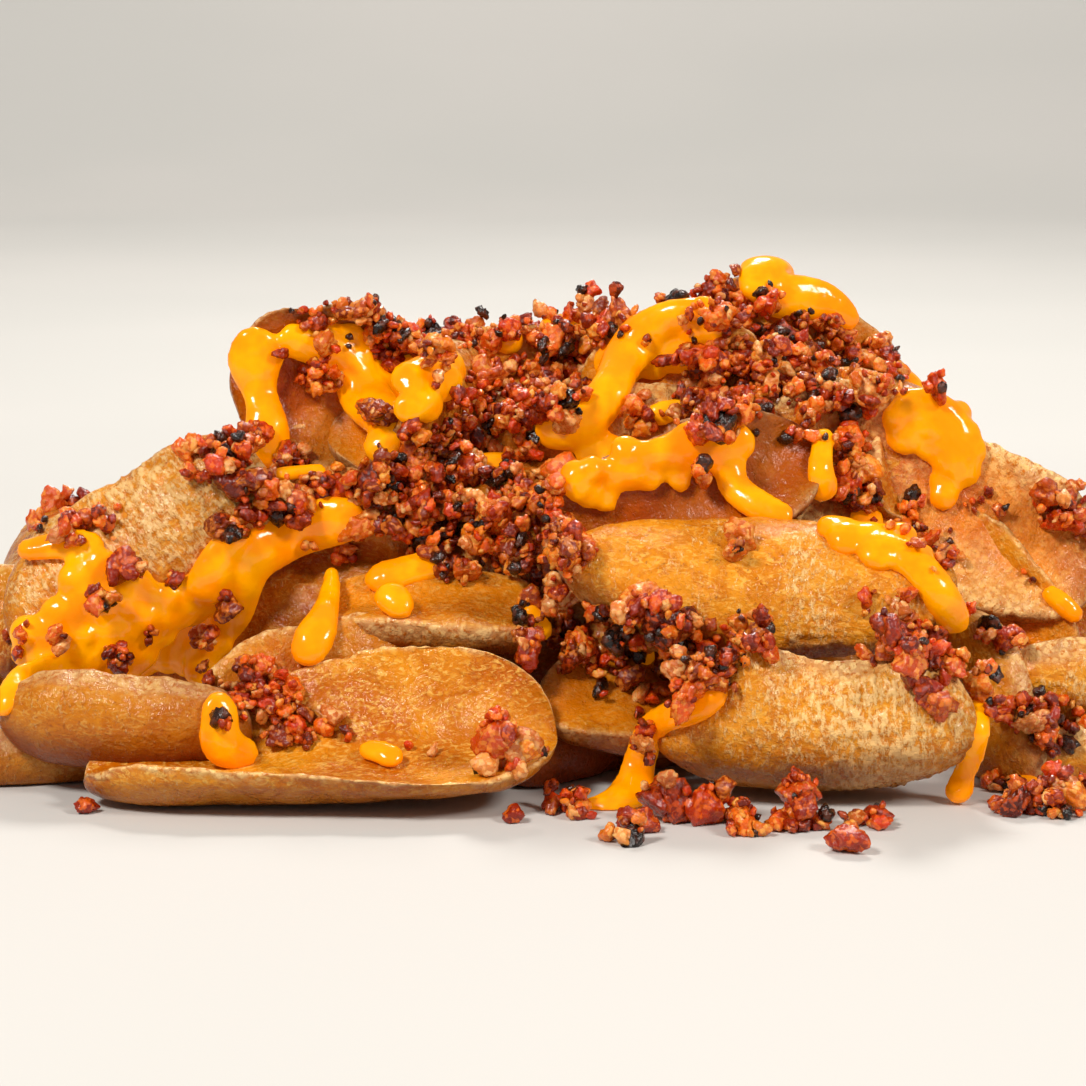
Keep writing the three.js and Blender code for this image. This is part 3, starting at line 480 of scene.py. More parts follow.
def add_piece(name, parts, material, stands_for):
    """Joins the parts into one piece that rides on the heap and stands for its CAD nodes."""
    points, faces, numbers = joined(parts)
    flat = [row for block in faces for row in block.tolist()]
    mesh = bpy.data.meshes.new(name)
    mesh.from_pydata((points * MM).tolist(), [], flat)
    for label, values in numbers.items():
        kind, field = ("FLOAT", "value") if values.ndim == 1 else ("FLOAT_VECTOR", "vector")
        attribute = mesh.attributes.new(label, kind, "POINT")
        attribute.data.foreach_set(field, values.astype(np.float32).ravel())
    mesh.polygons.foreach_set("use_smooth", np.full(len(mesh.polygons), True))
    mesh.materials.append(material)
    mesh.update()
    piece = bpy.data.objects.new(name, mesh)
    bpy.context.scene.collection.objects.link(piece)
    return finished(piece, stands_for)


def finished(piece, stands_for):
    """The piece rides on the heap and stands for the CAD nodes."""
    if not len(piece.data.polygons):
        raise RuntimeError(f"{piece.name} has no faces")
    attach(piece, "root")
    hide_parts(*stands_for)
    return piece


def nodes_named(prefix):
    return sorted(name for name in frame["nodes"] if name.startswith(prefix))


# ---------- materials ----------


class Recipe:
    """Nodes of one material, added from left to right."""

    def __init__(self, name):
        self.material = bpy.data.materials.new(name)
        self.material.use_nodes = True
        self.tree = self.material.node_tree
        self.shader = self.tree.nodes["Principled BSDF"]
        self.place = self.tree.nodes.new("ShaderNodeTexCoord").outputs["Object"]

    def link(self, source, socket):
        self.tree.links.new(source, socket)

    def fill(self, socket, value):
        if isinstance(value, bpy.types.NodeSocket):
            self.link(value, socket)
        else:
            socket.default_value = value

    def noise(self, size, detail=4, roughness=0.55, distortion=0.0, vector=None, stretch=None):
        """Noise whose largest features are about size metres across."""
        source = vector or self.place
        if stretch:
            mapping = self.tree.nodes.new("ShaderNodeMapping")
            mapping.inputs["Scale"].default_value = stretch
            self.link(source, mapping.inputs["Vector"])
            source = mapping.outputs["Vector"]
        node = self.tree.nodes.new("ShaderNodeTexNoise")
        node.inputs["Scale"].default_value = 1 / size
        node.inputs["Detail"].default_value = detail
        node.inputs["Roughness"].default_value = roughness
        node.inputs["Distortion"].default_value = distortion
        self.link(source, node.inputs["Vector"])
        return node.outputs["Fac"]

    def cells(self, size, reach):
        """Scattered points about size metres apart, on places shaken by up to about reach: the
        distance from the nearest one, in sizes, and that point's own shade."""
        shake = self.tree.nodes.new("ShaderNodeTexNoise")
        shake.inputs["Scale"].default_value = 0.7 / size
        shake.inputs["Detail"].default_value = 2
        self.link(self.place, shake.inputs["Vector"])
        moved = self.tree.nodes.new("ShaderNodeVectorMath")
        moved.operation = "MULTIPLY_ADD"
        self.link(shake.outputs["Color"], moved.inputs[0])
        moved.inputs[1].default_value = (2 * reach, 2 * reach, 2 * reach)
        self.link(self.place, moved.inputs[2])
        node = self.tree.nodes.new("ShaderNodeTexVoronoi")
        node.inputs["Scale"].default_value = 1 / size
        self.link(moved.outputs["Vector"], node.inputs["Vector"])
        return node.outputs["Distance"], node.outputs["Color"]

    def number(self, name):
        """The number that the mesh keeps for each point under this name."""
        node = self.tree.nodes.new("ShaderNodeAttribute")
        node.attribute_name = name
        return node.outputs["Fac"]

    def vector(self, name):
        node = self.tree.nodes.new("ShaderNodeAttribute")
        node.attribute_name = name
        return node.outputs["Vector"]

    def spread(self, value, low, high, to_low=0.0, to_high=1.0):
        """Value from low to high becomes to_low to to_high, smoothly, and stays there outside."""
        node = self.tree.nodes.new("ShaderNodeMapRange")
        node.interpolation_type = "SMOOTHSTEP"
        self.link(value, node.inputs["Value"])
        limits = {"From Min": low, "From Max": high, "To Min": to_low, "To Max": to_high}
        for socket, number in limits.items():
            node.inputs[socket].default_value = number
        return node.outputs["Result"]

    def math(self, operation, first, second):
        node = self.tree.nodes.new("ShaderNodeMath")
        node.operation = operation
        self.fill(node.inputs[0], first)
        self.fill(node.inputs[1], second)
        return node.outputs["Value"]

    def mix(self, share, first, second):
        """From the first colour to the second by share."""
        node = self.tree.nodes.new("ShaderNodeMix")
        node.data_type = "RGBA"
        self.fill(node.inputs["Factor"], share)
        self.fill(node.inputs[6], first)
        self.fill(node.inputs[7], second)
        return node.outputs[2]

    def bump(self, height, distance, strength=1.0, normal=None):
        node = self.tree.nodes.new("ShaderNodeBump")
        node.inputs["Distance"].default_value = distance
        node.inputs["Strength"].default_value = strength
        self.link(height, node.inputs["Height"])
        if normal:
            self.link(normal, node.inputs["Normal"])
        return node.outputs["Normal"]

    def set(self, **values):
        """Values of the shader's own sockets, by name with _ for a space."""
        for name, value in values.items():
            self.fill(self.shader.inputs[name.replace("_", " ")], value)


def potato_finish(name, settings, skin_low):
    """Fried potato: a golden mottled cut face with pale cells and fibres, oil soaked in where the
    mesh says, a pale rough rim, and brown skin with dark specks and pale flakes."""
    made = Recipe(name)
    skin, rim, oily, flake, tone = (made.number(n) for n in ("skin", "rim", "oily", "flake", "tone"))
    broad = made.noise(0.022, 2)
    patches = made.noise(0.006, 4, 0.64, 0.6)
    fine = made.noise(0.0011, 2, 0.65)
    fibres = made.noise(0.0015, 3, 0.68, 2.0, made.vector("grain"), (0.5, 1, 1))
    streaks = made.noise(0.0009, 3, 0.72, 0.0, made.vector("grain"), (1, 0.45, 0.45))
    cell, _ = made.cells(0.0016, 0.001)

    cut = made.mix(made.spread(broad, 0.36, 0.62), colour(190, 98, 0), settings.cut)
    cut = made.mix(made.spread(cell, 0.5, 0.1, 0, 0.55), cut, colour(238, 178, 66))
    cut = made.mix(made.spread(fibres, 0.5, 0.66, 0, 0.7), cut, colour(246, 200, 100))
    cut = made.mix(made.spread(patches, 0.45, 0.3, 0, 0.5), cut, colour(170, 72, 0))
    soaked = made.mix(made.spread(broad, 0.38, 0.6), colour(190, 78, 0), colour(234, 120, 0))
    soaked = made.mix(made.spread(cell, 0.4, 0.1, 0, 0.25), soaked, colour(246, 156, 10))
    cut = made.mix(oily, cut, soaked)

    peel = made.mix(made.spread(patches, 0.38, 0.62), skin_low, settings.skin)
    peel = made.mix(made.spread(fibres, 0.48, 0.68, 0, 0.6), peel, colour(250, 196, 92))
    peel = made.mix(made.spread(fine, 0.6, 0.74, 0, 0.5), peel, colour(112, 48, 4))
    speckled = made.math("ADD", flake, made.math("MULTIPLY", made.math("SUBTRACT", streaks, 0.5), 3.6))
    peel = made.mix(made.spread(speckled, 0.3, 1.0, 0, 0.85), peel, settings.rim_colour)
    edge = made.mix(made.spread(fine, 0.7, 0.5), colour(206, 116, 24), settings.rim_colour)
    edge = made.mix(made.spread(cell, 0.45, 0.65, 0, 0.5), edge, colour(170, 80, 8))

    base = made.mix(skin, cut, peel)
    base = made.mix(made.math("MULTIPLY", rim, made.spread(patches, 0.3, 0.5, 0.6, 1)), base, edge)
    # Browner by tone: fried browning, with painted shade where tone carries it, on faces that look down, on
    # slices that lie in shadow and on the inside.
    base = made.mix(tone, base, colour(128, 50, 2))
    roughness = made.math("SUBTRACT", made.spread(patches, 0.35, 0.65, 0.22, 0.4),
                          made.math("MULTIPLY", oily, 0.1))
    hills = made.math("MULTIPLY", cell, made.spread(made.math("ADD", rim, oily), 0, 1, -0.7, -0.5))
    normal = made.bump(patches, 0.0005, 0.45)
    normal = made.bump(made.spread(speckled, 0.2, 1.1), 0.0003, 0.6, normal)
    normal = made.bump(fibres, 0.0004, 0.5, normal)
    normal = made.bump(hills, 0.0005, 0.5, normal)
    normal = made.bump(fine, 0.0005, 0.55, normal)
    glints = made.bump(fine, 0.0004, 0.8, made.bump(patches, 0.0006, 0.6))
    made.set(Base_Color=base, Roughness=roughness, Normal=normal, Coat_Weight=0.3,
             Coat_Roughness=0.12, Coat_Normal=glints, Specular_IOR_Level=0.14)
    return made.material


def sauce_finish(settings):
    """Thick cheese sauce: smooth, opaque and glossy, yellow with more orange patches, in low waves.
    A slight painted glow, the emission, stands for the light that goes through it and lightens the sauce
    where it lies in shade."""
    made = Recipe("cheese_sauce")
    broad = made.noise(0.009, 3)
    waves = made.noise(0.0045, 2, 0.4)
    base = made.mix(made.spread(broad, 0.35, 0.65), colour(255, 142, 0), settings.colour)
    normal = made.bump(waves, 0.0012, 0.45)
    # The emission is a painted glow.
    made.set(Base_Color=base, Normal=normal, Roughness=made.spread(broad, 0.3, 0.7, 0.1, 0.17),
             Emission_Color=colour(255, 150, 0), Emission_Strength=0.14,
             Coat_Weight=0.2, Coat_Roughness=0.04, Coat_Normal=normal, Specular_IOR_Level=0.22)
    return made.material


def crumb_finish(name, dark, middle, light, see_through):
    """Fried bacon: each crumb has a tone of its own between dark and middle, with grains about a millimetre
    wide that are lighter or darker, painted shade in the creases between the grains, fine light spots and a
    greasy gloss."""
    made = Recipe(name)
    apart, own = made.cells(0.001, 0.0006)
    spots = made.noise(0.0009, 3, 0.6)
    base = made.mix(made.spread(made.number("tone"), 0.1, 0.9), dark, middle)
    base = made.mix(made.spread(own, 0.5, 0.74, 0, 0.6), base, light)
    base = made.mix(made.spread(own, 0.36, 0.22, 0, 0.45), base, dark)
    # Darker between the grains: painted shade in the creases.
    base = made.mix(made.spread(apart, 0.4, 0.8, 0, 0.35), base, dark)
    base = made.mix(made.spread(spots, 0.6, 0.72, 0, 0.45), base, light)
    normal = made.bump(spots, 0.0004, 0.85)
    made.set(Base_Color=base, Normal=normal, Roughness=made.spread(spots, 0.3, 0.7, 0.14, 0.34),
             Subsurface_Weight=see_through, Subsurface_Radius=(1.0, 0.4, 0.15), Subsurface_Scale=0.0025,
             Coat_Weight=0.4, Coat_Roughness=0.06, Coat_Normal=normal, Specular_IOR_Level=0.3)
    return made.material


# ---------- potato slices ----------


def turned(points, turn):
    """Points turned by roll about X, then climb about Y, then heading about Z, in degrees."""
    heading, climb, roll = np.radians(turn)
    cx, sx, cy, sy, cz, sz = (math.cos(roll), math.sin(roll), math.cos(-climb), math.sin(-climb),
                              math.cos(heading), math.sin(heading))
    about_x = np.array([[1, 0, 0], [0, cx, -sx], [0, sx, cx]])
    about_y = np.array([[cy, 0, sy], [0, 1, 0], [-sy, 0, cy]])
    about_z = np.array([[cz, -sz, 0], [sz, cz, 0], [0, 0, 1]])
    return points @ (about_z @ about_y @ about_x).T


def slice_surface(form, along, angle):
    """The bare surface of a slice. Its half width falls off to both ends as the root of
    1 - |along|^tip, the cut face is hollowed in proportion to the square of the place across, the
    ends rise by bend, and it turns by twist about its length. The upper half of the section is the
    cut face, the lower half the skin."""
    across, up = np.cos(angle), np.sin(angle)
    wide, thick = form["wide"], form["thick"]
    phase, lip_at = form["phase"], form.get("lip_at", 0)
    uneven = (1 + 0.05 * np.sin(2.7 * along + phase)
              + 0.035 * np.sin(6.1 * along + 2.3 * phase + 1.3 * across))
    near = np.maximum(-across, 0)
    torn_up = form.get("lip", 0) * np.exp(-(((along - lip_at) / 0.13) ** 2))
    torn_off = (form.get("notch", 0) * np.sqrt(np.clip((lip_at - along) / (lip_at + 1), 0, 1))
                + form.get("dip", 0) * np.exp(-(((along - lip_at - 0.55) / 0.36) ** 2)))
    narrowing = np.sqrt(np.maximum(1 - np.abs(along) ** form.get("tip", 2.6), 0))
    half = (wide / 2 * narrowing * (1 + form.get("taper", 0) * along) * uneven
            * (1 + near * (torn_up - torn_off)))
    depth = thick * np.sqrt(np.maximum(1 - np.abs(along) ** 3.2, 0))
    y = half * across
    middle = -thick / 2 + form["sag"] * (half / (wide / 2)) * across * across
    z = middle + 0.5 * depth * np.sign(up) * np.abs(up) ** 0.45 + form.get("bend", 0) * along * along
    turn = math.radians(form.get("twist", 0)) * along
    return np.stack([form["long"] / 2 * along, y * np.cos(turn) - z * np.sin(turn),
                     y * np.sin(turn) + z * np.cos(turn)], axis=-1)


def slice_part(form, seed, rings, sides, settings):
    """A slice as points, faces and numbers: the bare surface moved along its normal by broad lumps,
    blisters on the skin, a torn rim and shallow pits in the cut face. What would lie below the
    floor is drawn in and pressed flat just above it, with a soft corner."""
    station = np.linspace(-0.5, 0.5, rings + 2)[1:-1] * math.pi
    along, angle = np.meshgrid(np.sin(station), np.arange(sides) / sides * 2 * math.pi, indexing="ij")
    grid = slice_surface(form, along, angle)
    lengthwise = np.gradient(grid, axis=0)
    around = np.roll(grid, -1, axis=1) - np.roll(grid, 1, axis=1)
    normal = np.cross(around, lengthwise)
    normal /= np.maximum(np.linalg.norm(normal, axis=-1, keepdims=True), 1e-9)
    if (normal * (grid - grid.mean(axis=1, keepdims=True))).sum() < 0:
        normal = -normal

    up = np.sin(angle) + 0.16 * rough(grid, 6, seed + 3, 3)
    skin = eased(0.02, -0.2, up)
    rim = np.exp(-(((up - 0.14) / form.get("rim", 0.22)) ** 2))
    blister = form.get("blister", 0.3)
    patchy = eased(-0.25, 0.35, swell(grid, 11, seed + 13) + 1.6 * blister - 0.8)
    if "pale" in form:
        where, over = form["pale"]
        patchy = patchy * (0.2 + 0.8 * np.exp(-(((along - where) / over) ** 2)))
    folds = (0.6 * (1 - np.abs(swell(grid, 2.5, seed + 11))) ** 2
             + 0.4 * (1 - np.abs(swell(grid, 1.3, seed + 47))) ** 2)
    wrinkle = 1 - np.abs(swell(grid * np.array([0.5, 1, 1]), 2.4, seed + 17))
    lift = settings.lump / MM * (1.4 * swell(grid, 17, seed) + 0.7 * swell(grid, 7, seed + 1))
    lift += settings.blister / MM * skin * (
        (0.3 + 0.9 * blister) * 1.3 * (folds - 0.35) * patchy + 0.2 * (wrinkle - 0.5)
        + 0.16 * rough(grid, 3, seed + 19, 2))
    lift += settings.rim / MM * rim * (0.9 * rough(grid, 3.4, seed + 23, 3) + 0.3
                                       + 0.9 * blister * (folds - 0.3))
    lift += (1 - skin) * (1 - rim) * (0.24 * rough(grid, 5, seed + 29, 3)
                                      - 0.2 * np.maximum(rough(grid, 1.7, seed + 31, 2), 0))
    fade = np.sqrt(np.maximum(1 - np.abs(along) ** 12, 0))
    grid = grid + normal * (lift * fade)[..., None]

    flat = grid.reshape(-1, 3)
    first, last = grid[0].mean(axis=0), grid[-1].mean(axis=0)
    local = np.concatenate([[first], flat, [last]])
    hollow = form.get("oily", 0.3) * np.clip(1 - 0.9 * np.abs(np.cos(angle)) ** 3, 0, 1) * (1 - rim)
    numbers = {
        "skin": skin,
        "rim": rim,
        "oily": hollow * (0.75 + 0.35 * rough(grid, 9, seed + 37, 2)),
        "flake": np.clip((0.35 + 0.9 * folds) * patchy * blister, 0, 1),
        # tone: the slice's own brownness, random patches and browner ends, and painted shade on faces that
        # look down.
        "tone": np.clip(form.get("tone", 0.06) + 0.15 * rough(grid, 14, seed + 41, 2)
                        + 0.25 * eased(0.8, 1, np.abs(along))
                        + 0.5 * eased(0.1, -0.8, turned(normal, form["turn"])[..., 2]), 0, 1),
    }
    full = {label: np.concatenate([[values[0].mean()], values.ravel(), [values[-1].mean()]])
            for label, values in numbers.items()}
    points = turned(local, form["turn"]) + np.array(form["at"])
    below = np.clip(-points[:, 2:], 0, 10)
    points[:, :2] += 0.04 * below * (np.array(form["at"])[:2] - points[:, :2])
    points[:, 2] = LOWEST + FLOOR_CORNER * np.log1p(np.exp((points[:, 2] - LOWEST) / FLOOR_CORNER))
    full["grain"] = local * MM
    return points, tube_faces(rings, sides), full


def ring_forms():
    """The slices of the rings: each lies along its ring, more or less, and leans on the slope with
    its skin or its cut face outwards."""
    forms = []
    for count, height, long, deep, x in RINGS:
        for step in range(count):
            number = len(forms)
            def wander(spread, seed):
                return spread * (chance(number + seed) - 0.5)
            angle = (step + wander(0.4, 0)) / count * 2 * math.pi
            if math.sin(angle) < -0.4 and height < 30:
                continue
            draw_in = 0.62 if math.sin(angle) < 0 else 1
            heading = math.degrees(math.atan2(draw_in * deep * math.cos(angle), -long * math.sin(angle)))
            forms.append(dict(
                at=(x + long / 2 * math.cos(angle),
                    HEAP_MIDDLE_Y + draw_in * deep / 2 * math.sin(angle), height + wander(6, 20)),
                turn=(heading + wander(44, 50), wander(30, 130), LEANS[number % 8] + wander(24, 90)),
                long=72 + wander(24, 170), wide=32 + wander(8, 210), thick=11, sag=5, phase=number * 1.3,
                blister=0.2 + 0.45 * chance(number + 300), oily=0.7 * chance(number + 320),
                tone=0.05 + 0.3 * chance(number + 340)))
    return forms


def core_part(seed):
    """A flat-bottomed dome for the potato deep inside: a superellipse over the floor, moved by
    broad lumps so that what shows between the slices looks like more of them."""
    rings, sides = CORE_FINENESS
    lift, angle = np.meshgrid(np.linspace(0, 0.49, rings) * math.pi,
                              np.arange(sides) / sides * 2 * math.pi, indexing="ij")
    power = CORE["square"]
    reach = (np.cos(lift) ** (2 / power)
             / (np.abs(np.cos(angle)) ** power + np.abs(np.sin(angle)) ** power) ** (1 / power))
    grid = np.stack([CORE["x"] + (CORE["long"] / 2 - 4) * reach * np.cos(angle),
                     CORE["y"] + (CORE["deep"] / 2 - 4) * reach * np.sin(angle),
                     (CORE["high"] - 3) * np.sin(lift) ** (2 / power)], axis=-1)
    outwards = grid - np.array([CORE["x"], CORE["y"], 0])
    outwards /= np.linalg.norm(outwards, axis=-1, keepdims=True)
    nearest, own = grains(grid * np.array([0.6, 0.6, 1]), 14, seed)
    grid = grid + outwards * (4 * (0.7 - nearest) + 3 * own + 0.8 * rough(grid, 5, seed + 3, 3))[..., None]
    grid[..., 2] = np.maximum(grid[..., 2], LOWEST)
    local = np.concatenate([[[CORE["x"], CORE["y"], 0.1]], grid.reshape(-1, 3), [grid[-1].mean(axis=0)]])
    bare = np.zeros(len(local))
    # The inside's high tone is painted shade for what shows in the gaps between the slices.
    numbers = {"skin": bare + 0.6, "rim": bare, "oily": bare + 0.3, "flake": bare, "tone": bare + 0.55,
               "grain": local * MM}
    return local, tube_faces(rings, sides), numbers


# ---------- laying things on the heap ----------


def tree_of(pieces):
    """A search tree over the meshes of the pieces, for casting rays at them."""
    together = bmesh.new()
    for piece in pieces:
        together.from_mesh(piece.data)
    tree = BVHTree.FromBMesh(together)
    together.free()
    return tree


def land(trees, sheet, a, b):
    """Where the line from the sheet's eye through a place on it first meets the trees: the point,
    the surface's outward normal, the distance in millimetres, the line's direction and which tree
    it is. Where it meets none, it is the floor near the heap, or None."""
    eye = Vector(sheet[0])
    towards = (Vector(sheet[1](a, b)) - eye).normalized()
    best = None
    for which, tree in enumerate(trees):
        spot, normal, _, distance = tree.ray_cast(eye * MM, towards)
        if spot is not None and (best is None or distance < best[0]):
            best = (distance, normal, which)
    if best is not None:
        normal = best[1] if best[1].dot(towards) < 0 else -best[1]
        return eye + towards * (best[0] / MM), normal, best[0] / MM, towards, best[2]
    if towards.z >= 0:
        return None
    ground = eye - towards * (eye.z / towards.z)
    if not -FLOOR_BEFORE < ground.y < FLOOR_BEHIND:
        return None
    return ground, Vector((0, 0, 1)), (ground - eye).length, towards, None


def spaced(places, step):
    """Places and widths at even steps along a smooth curve (Catmull-Rom) through the given ones."""
    knots = np.array(places, float)
    knots = np.concatenate([[2 * knots[0] - knots[1]], knots, [2 * knots[-1] - knots[-2]]])
    t = np.linspace(0, 1, 24, endpoint=False)[:, None]
    curve = [0.5 * (2 * b + (c - a) * t + (2 * a - 5 * b + 4 * c - d) * t**2
                    + (3 * b - a - 3 * c + d) * t**3)
             for a, b, c, d in zip(knots, knots[1:], knots[2:], knots[3:])]
    curve = np.concatenate([*curve, knots[-2:-1]])
    far = np.concatenate([[0], np.cumsum(np.linalg.norm(np.diff(curve[:, :2], axis=0), axis=1))])
    at = np.linspace(0, far[-1], max(4, int(far[-1] / step)))
    return np.stack([np.interp(at, far, curve[:, axis]) for axis in range(3)], axis=-1)


def windowed(values, reach, choose):
    """choose (least or mean) over the values up to reach places away, for each place."""
    return np.array([choose(values[max(0, i - reach):i + reach + 1], axis=0) for i in range(len(values))])


def sauce_run(trees, run, number):
    """A run of sauce as points and faces: an oval section carried along the surface. Its distance
    from the eye is the least within 4 mm, evened out, so it hangs in a curve where the surface
    drops away. Its width is read along the run and swells a little, and its ends are round."""
    sheet, places = run
    landings = [(land(trees, sheet, a, b), wide) for a, b, wide in spaced(places, RUN_STEP)]
    landings = [(*landing, wide) for landing, wide in landings if landing is not None]
    eye = np.array(sheet[0], float)
    towards = np.array([landing[3] for landing in landings])
    wide = np.array([landing[5] for landing in landings])
    normals = windowed(np.array([landing[1] for landing in landings]), 6, np.mean) - 0.5 * towards
    normals /= np.linalg.norm(normals, axis=1, keepdims=True)
    distance = windowed(np.array([landing[2] for landing in landings]), 4, np.min)
    distance = windowed(windowed(distance, 4, np.mean), 3, np.mean)
    count = len(landings)
    share = np.linspace(0, 1, count)
    path = np.stack([share * count * RUN_STEP, np.full(count, number * 7.3), np.zeros(count)], axis=-1)
    half = wide / 2 * (distance / nearer_sheet(sheet, places)) * (1.12 + 0.12 * swell(path, 7, 5))
    tall = np.clip(half * 0.55, 1.4, 2.9) * (1 + 0.15 * swell(path, 6, 7))
    centres = eye + towards * distance[:, None] + normals * (tall * 0.35)[:, None]
    centres = windowed(centres, 3, np.mean)
    along = np.gradient(centres, axis=0)
    along /= np.maximum(np.linalg.norm(along, axis=1, keepdims=True), 1e-9)
    side = np.cross(normals, along)
    side /= np.maximum(np.linalg.norm(side, axis=1, keepdims=True), 1e-9)
    up = np.cross(along, side)
    from_end = np.minimum(share, 1 - share) * count * RUN_STEP
    closing = np.sqrt(np.clip(1 - (1 - np.minimum(from_end / (1.7 * half), 1)) ** 2, 0.003, 1))
    angle = np.arange(RUN_SIDES) / RUN_SIDES * 2 * math.pi
    grid = (centres[:, None] + side[:, None] * ((half * closing)[:, None] * np.cos(angle))[..., None]
            + up[:, None] * ((tall * closing)[:, None] * np.sin(angle))[..., None])
    points = np.concatenate([[centres[0]], grid.reshape(-1, 3), [centres[-1]]])
    return points, tube_faces(count, RUN_SIDES), {}


def sauce_pool(trees, corners, seed):
    """A pool of sauce: flattened balls at jittered places inside the area, close enough to run
    together into a sheet with bulges and a lobed edge."""
    random = np.random.default_rng(seed)
    ball_points, ball_faces = ball(3)
    outline = np.array(corners, float)
    low, high = outline.min(axis=0), outline.max(axis=0)
    blobs = []
    for a in np.arange(low[0], high[0], BLOB_STEP):
        for b in np.arange(low[1], high[1], BLOB_STEP):
            a_here, b_here = a + random.uniform(-1.2, 1.2), b + random.uniform(-1.2, 1.2)
            after = np.roll(outline, -1, axis=0)
            above = (outline[:, 1] > b_here) != (after[:, 1] > b_here)
            rise = np.where(after[:, 1] == outline[:, 1], 1e-9, after[:, 1] - outline[:, 1])
            crossing = outline[:, 0] + (b_here - outline[:, 1]) / rise * (after[:, 0] - outline[:, 0])
            landing = land(trees, FRONT, a_here, b_here)
            if (above & (crossing > a_here)).sum() % 2 == 0 or landing is None:
                continue
            point, normal, _, towards, _ = landing
            up = (normal - 0.4 * towards).normalized()
            turn = np.array(up.to_track_quat("Z", "Y").to_matrix())
            wide, tall = random.uniform(3.0, 4.6), random.uniform(1.6, 3.0)
            shaped = (ball_points * (wide, wide, tall)) @ turn.T + np.array(point + up * 0.8)
            blobs.append((shaped, [ball_faces], {}))
    return blobs


def nearer_sheet(sheet, places):
    """How far the eye is from the sheet at the middle of a run, in millimetres."""
    a, b, _ = places[len(places) // 2]
    return (Vector(sheet[1](a, b)) - Vector(sheet[0])).length


# ---------- crumbs ----------


def ball(levels):
    """Points and triangles of a ball of radius 1, from an icosahedron split levels - 1 times."""
    shape = bmesh.new()
    bmesh.ops.create_icosphere(shape, subdivisions=levels, radius=1)
    points = np.array([vertex.co[:] for vertex in shape.verts])
    faces = np.array([[vertex.index for vertex in face.verts] for face in shape.faces])
    shape.free()
    return points, faces


def crumb_spots(trees, group, per_area, seed, size, sink):
    """Middles for crumbs of about the given size: places drawn at random over the piles of a group,
    thicker towards the middle of each, landed on what is there, and sunk by a share of the size."""
    random = np.random.default_rng(seed)
    sheet, piles = CRUMB_PILES[group]
    spots = []
    for a, b, wide, high, thickly in piles:
        for _ in range(random.poisson(per_area * thickly * wide * high)):
            angle = random.uniform(0, 2 * math.pi)
            reach = random.uniform(0, 1) ** 0.55 * random.choice([1, 1.25], p=[0.85, 0.15])
            across = size * random.uniform(0.75, 1.35)
            landing = land(trees, sheet, a + wide * reach * math.cos(angle),
                           b + high * reach * math.sin(angle))
            if landing is None or landing[0].z + across > HIGHEST_CRUMB:
                continue
            point, normal, _, towards, which = landing
            if which == ON_SAUCE and random.uniform(0, 1) > KEPT_ON_SAUCE and wide > 2:
                continue
            outwards = (normal - 0.3 * towards).normalized()
            spots.append((*(point + outwards * across * (0.45 - sink)), across))
    return np.array(spots).reshape(-1, 4)


def crumb_part(spots, levels, seed, knobbly):
    """Crumbs as one part. Each is a ball of its own: swollen by broad noise, cut off flat on a few
    sides, squashed and turned its own way, with grains about a millimetre wide standing out."""
    random = np.random.default_rng(seed)
    points, faces = ball(levels)
    count = len(spots)
    shift = random.uniform(-500, 500, (count, 1, 3))
    broad = (1 + 0.4 * swell(points[None] + shift, 0.9, seed + 1)
             + 0.28 * swell(points[None] + shift, 0.45, seed + 2))
    cuts = random.normal(size=(count, 4, 3))
    cuts /= np.linalg.norm(cuts, axis=-1, keepdims=True)
    facing = np.einsum("vk,nck->nvc", points, cuts)
    flat = (random.uniform(0.62, 1.1, (count, 1, 4)) / np.maximum(facing, 0.05)).min(axis=-1)
    reach = np.minimum(broad, flat)
    squash = random.uniform(0.62, 1.0, (count, 1, 3))
    squash[:, :, 0] = random.uniform(0.9, 1.35, (count, 1))
    radius = spots[:, None, 3:] / 2
    shaped = points[None] * reach[..., None] * squash * radius
    nearest, _ = grains(shaped + shift, 1.05, seed + 3)
    shaped += points[None] * (knobbly * (np.maximum(1 - (nearest / 0.62) ** 2, 0) - 0.35))[..., None]
    turn = np.linalg.qr(random.normal(size=(count, 3, 3)))[0]
    turn *= np.sign(np.linalg.det(turn))[:, None, None]
    shaped = np.einsum("nij,nkj->nki", turn, shaped) + spots[:, None, :3]
    shaped[..., 2] = np.maximum(shaped[..., 2], LOWEST)
    all_faces = (faces[None] + np.arange(count)[:, None, None] * len(points)).reshape(-1, 3)
    numbers = {"tone": np.repeat(random.uniform(0, 1, count), len(points))}
    return shaped.reshape(-1, 3), [all_faces], numbers


# ---------- operators ----------


def built(tag):
    """The pieces that an operator has made already."""
    pieces = [piece for piece in bpy.data.objects if piece.get("wedges_group") == tag]
    if not pieces:
        raise RuntimeError(f"build the {tag} first")
    return pieces


class WEDGES_OT_slices(bpy.types.Operator):
    """Build each potato slice that shows, with its cut face, rim and skin"""

    bl_idname = "wedges.slices"
    bl_label = "Potato slices"

    def execute(self, context):
        material = potato_finish("fried_potato", context.scene.wedge_settings, colour(204, 116, 8))
        for index, (name, form) in enumerate(SLICES.items()):
            form = {"phase": index * 1.7, **form}
            part = slice_part(form, 100 + 50 * index, *FINENESS[form.get("fine", 0)],
                              context.scene.wedge_settings)
            piece = add_piece(f"slice_{name}", [part], material, [f"wedge_{name}"])
            piece["wedges_group"] = "slices"
        return {"FINISHED"}


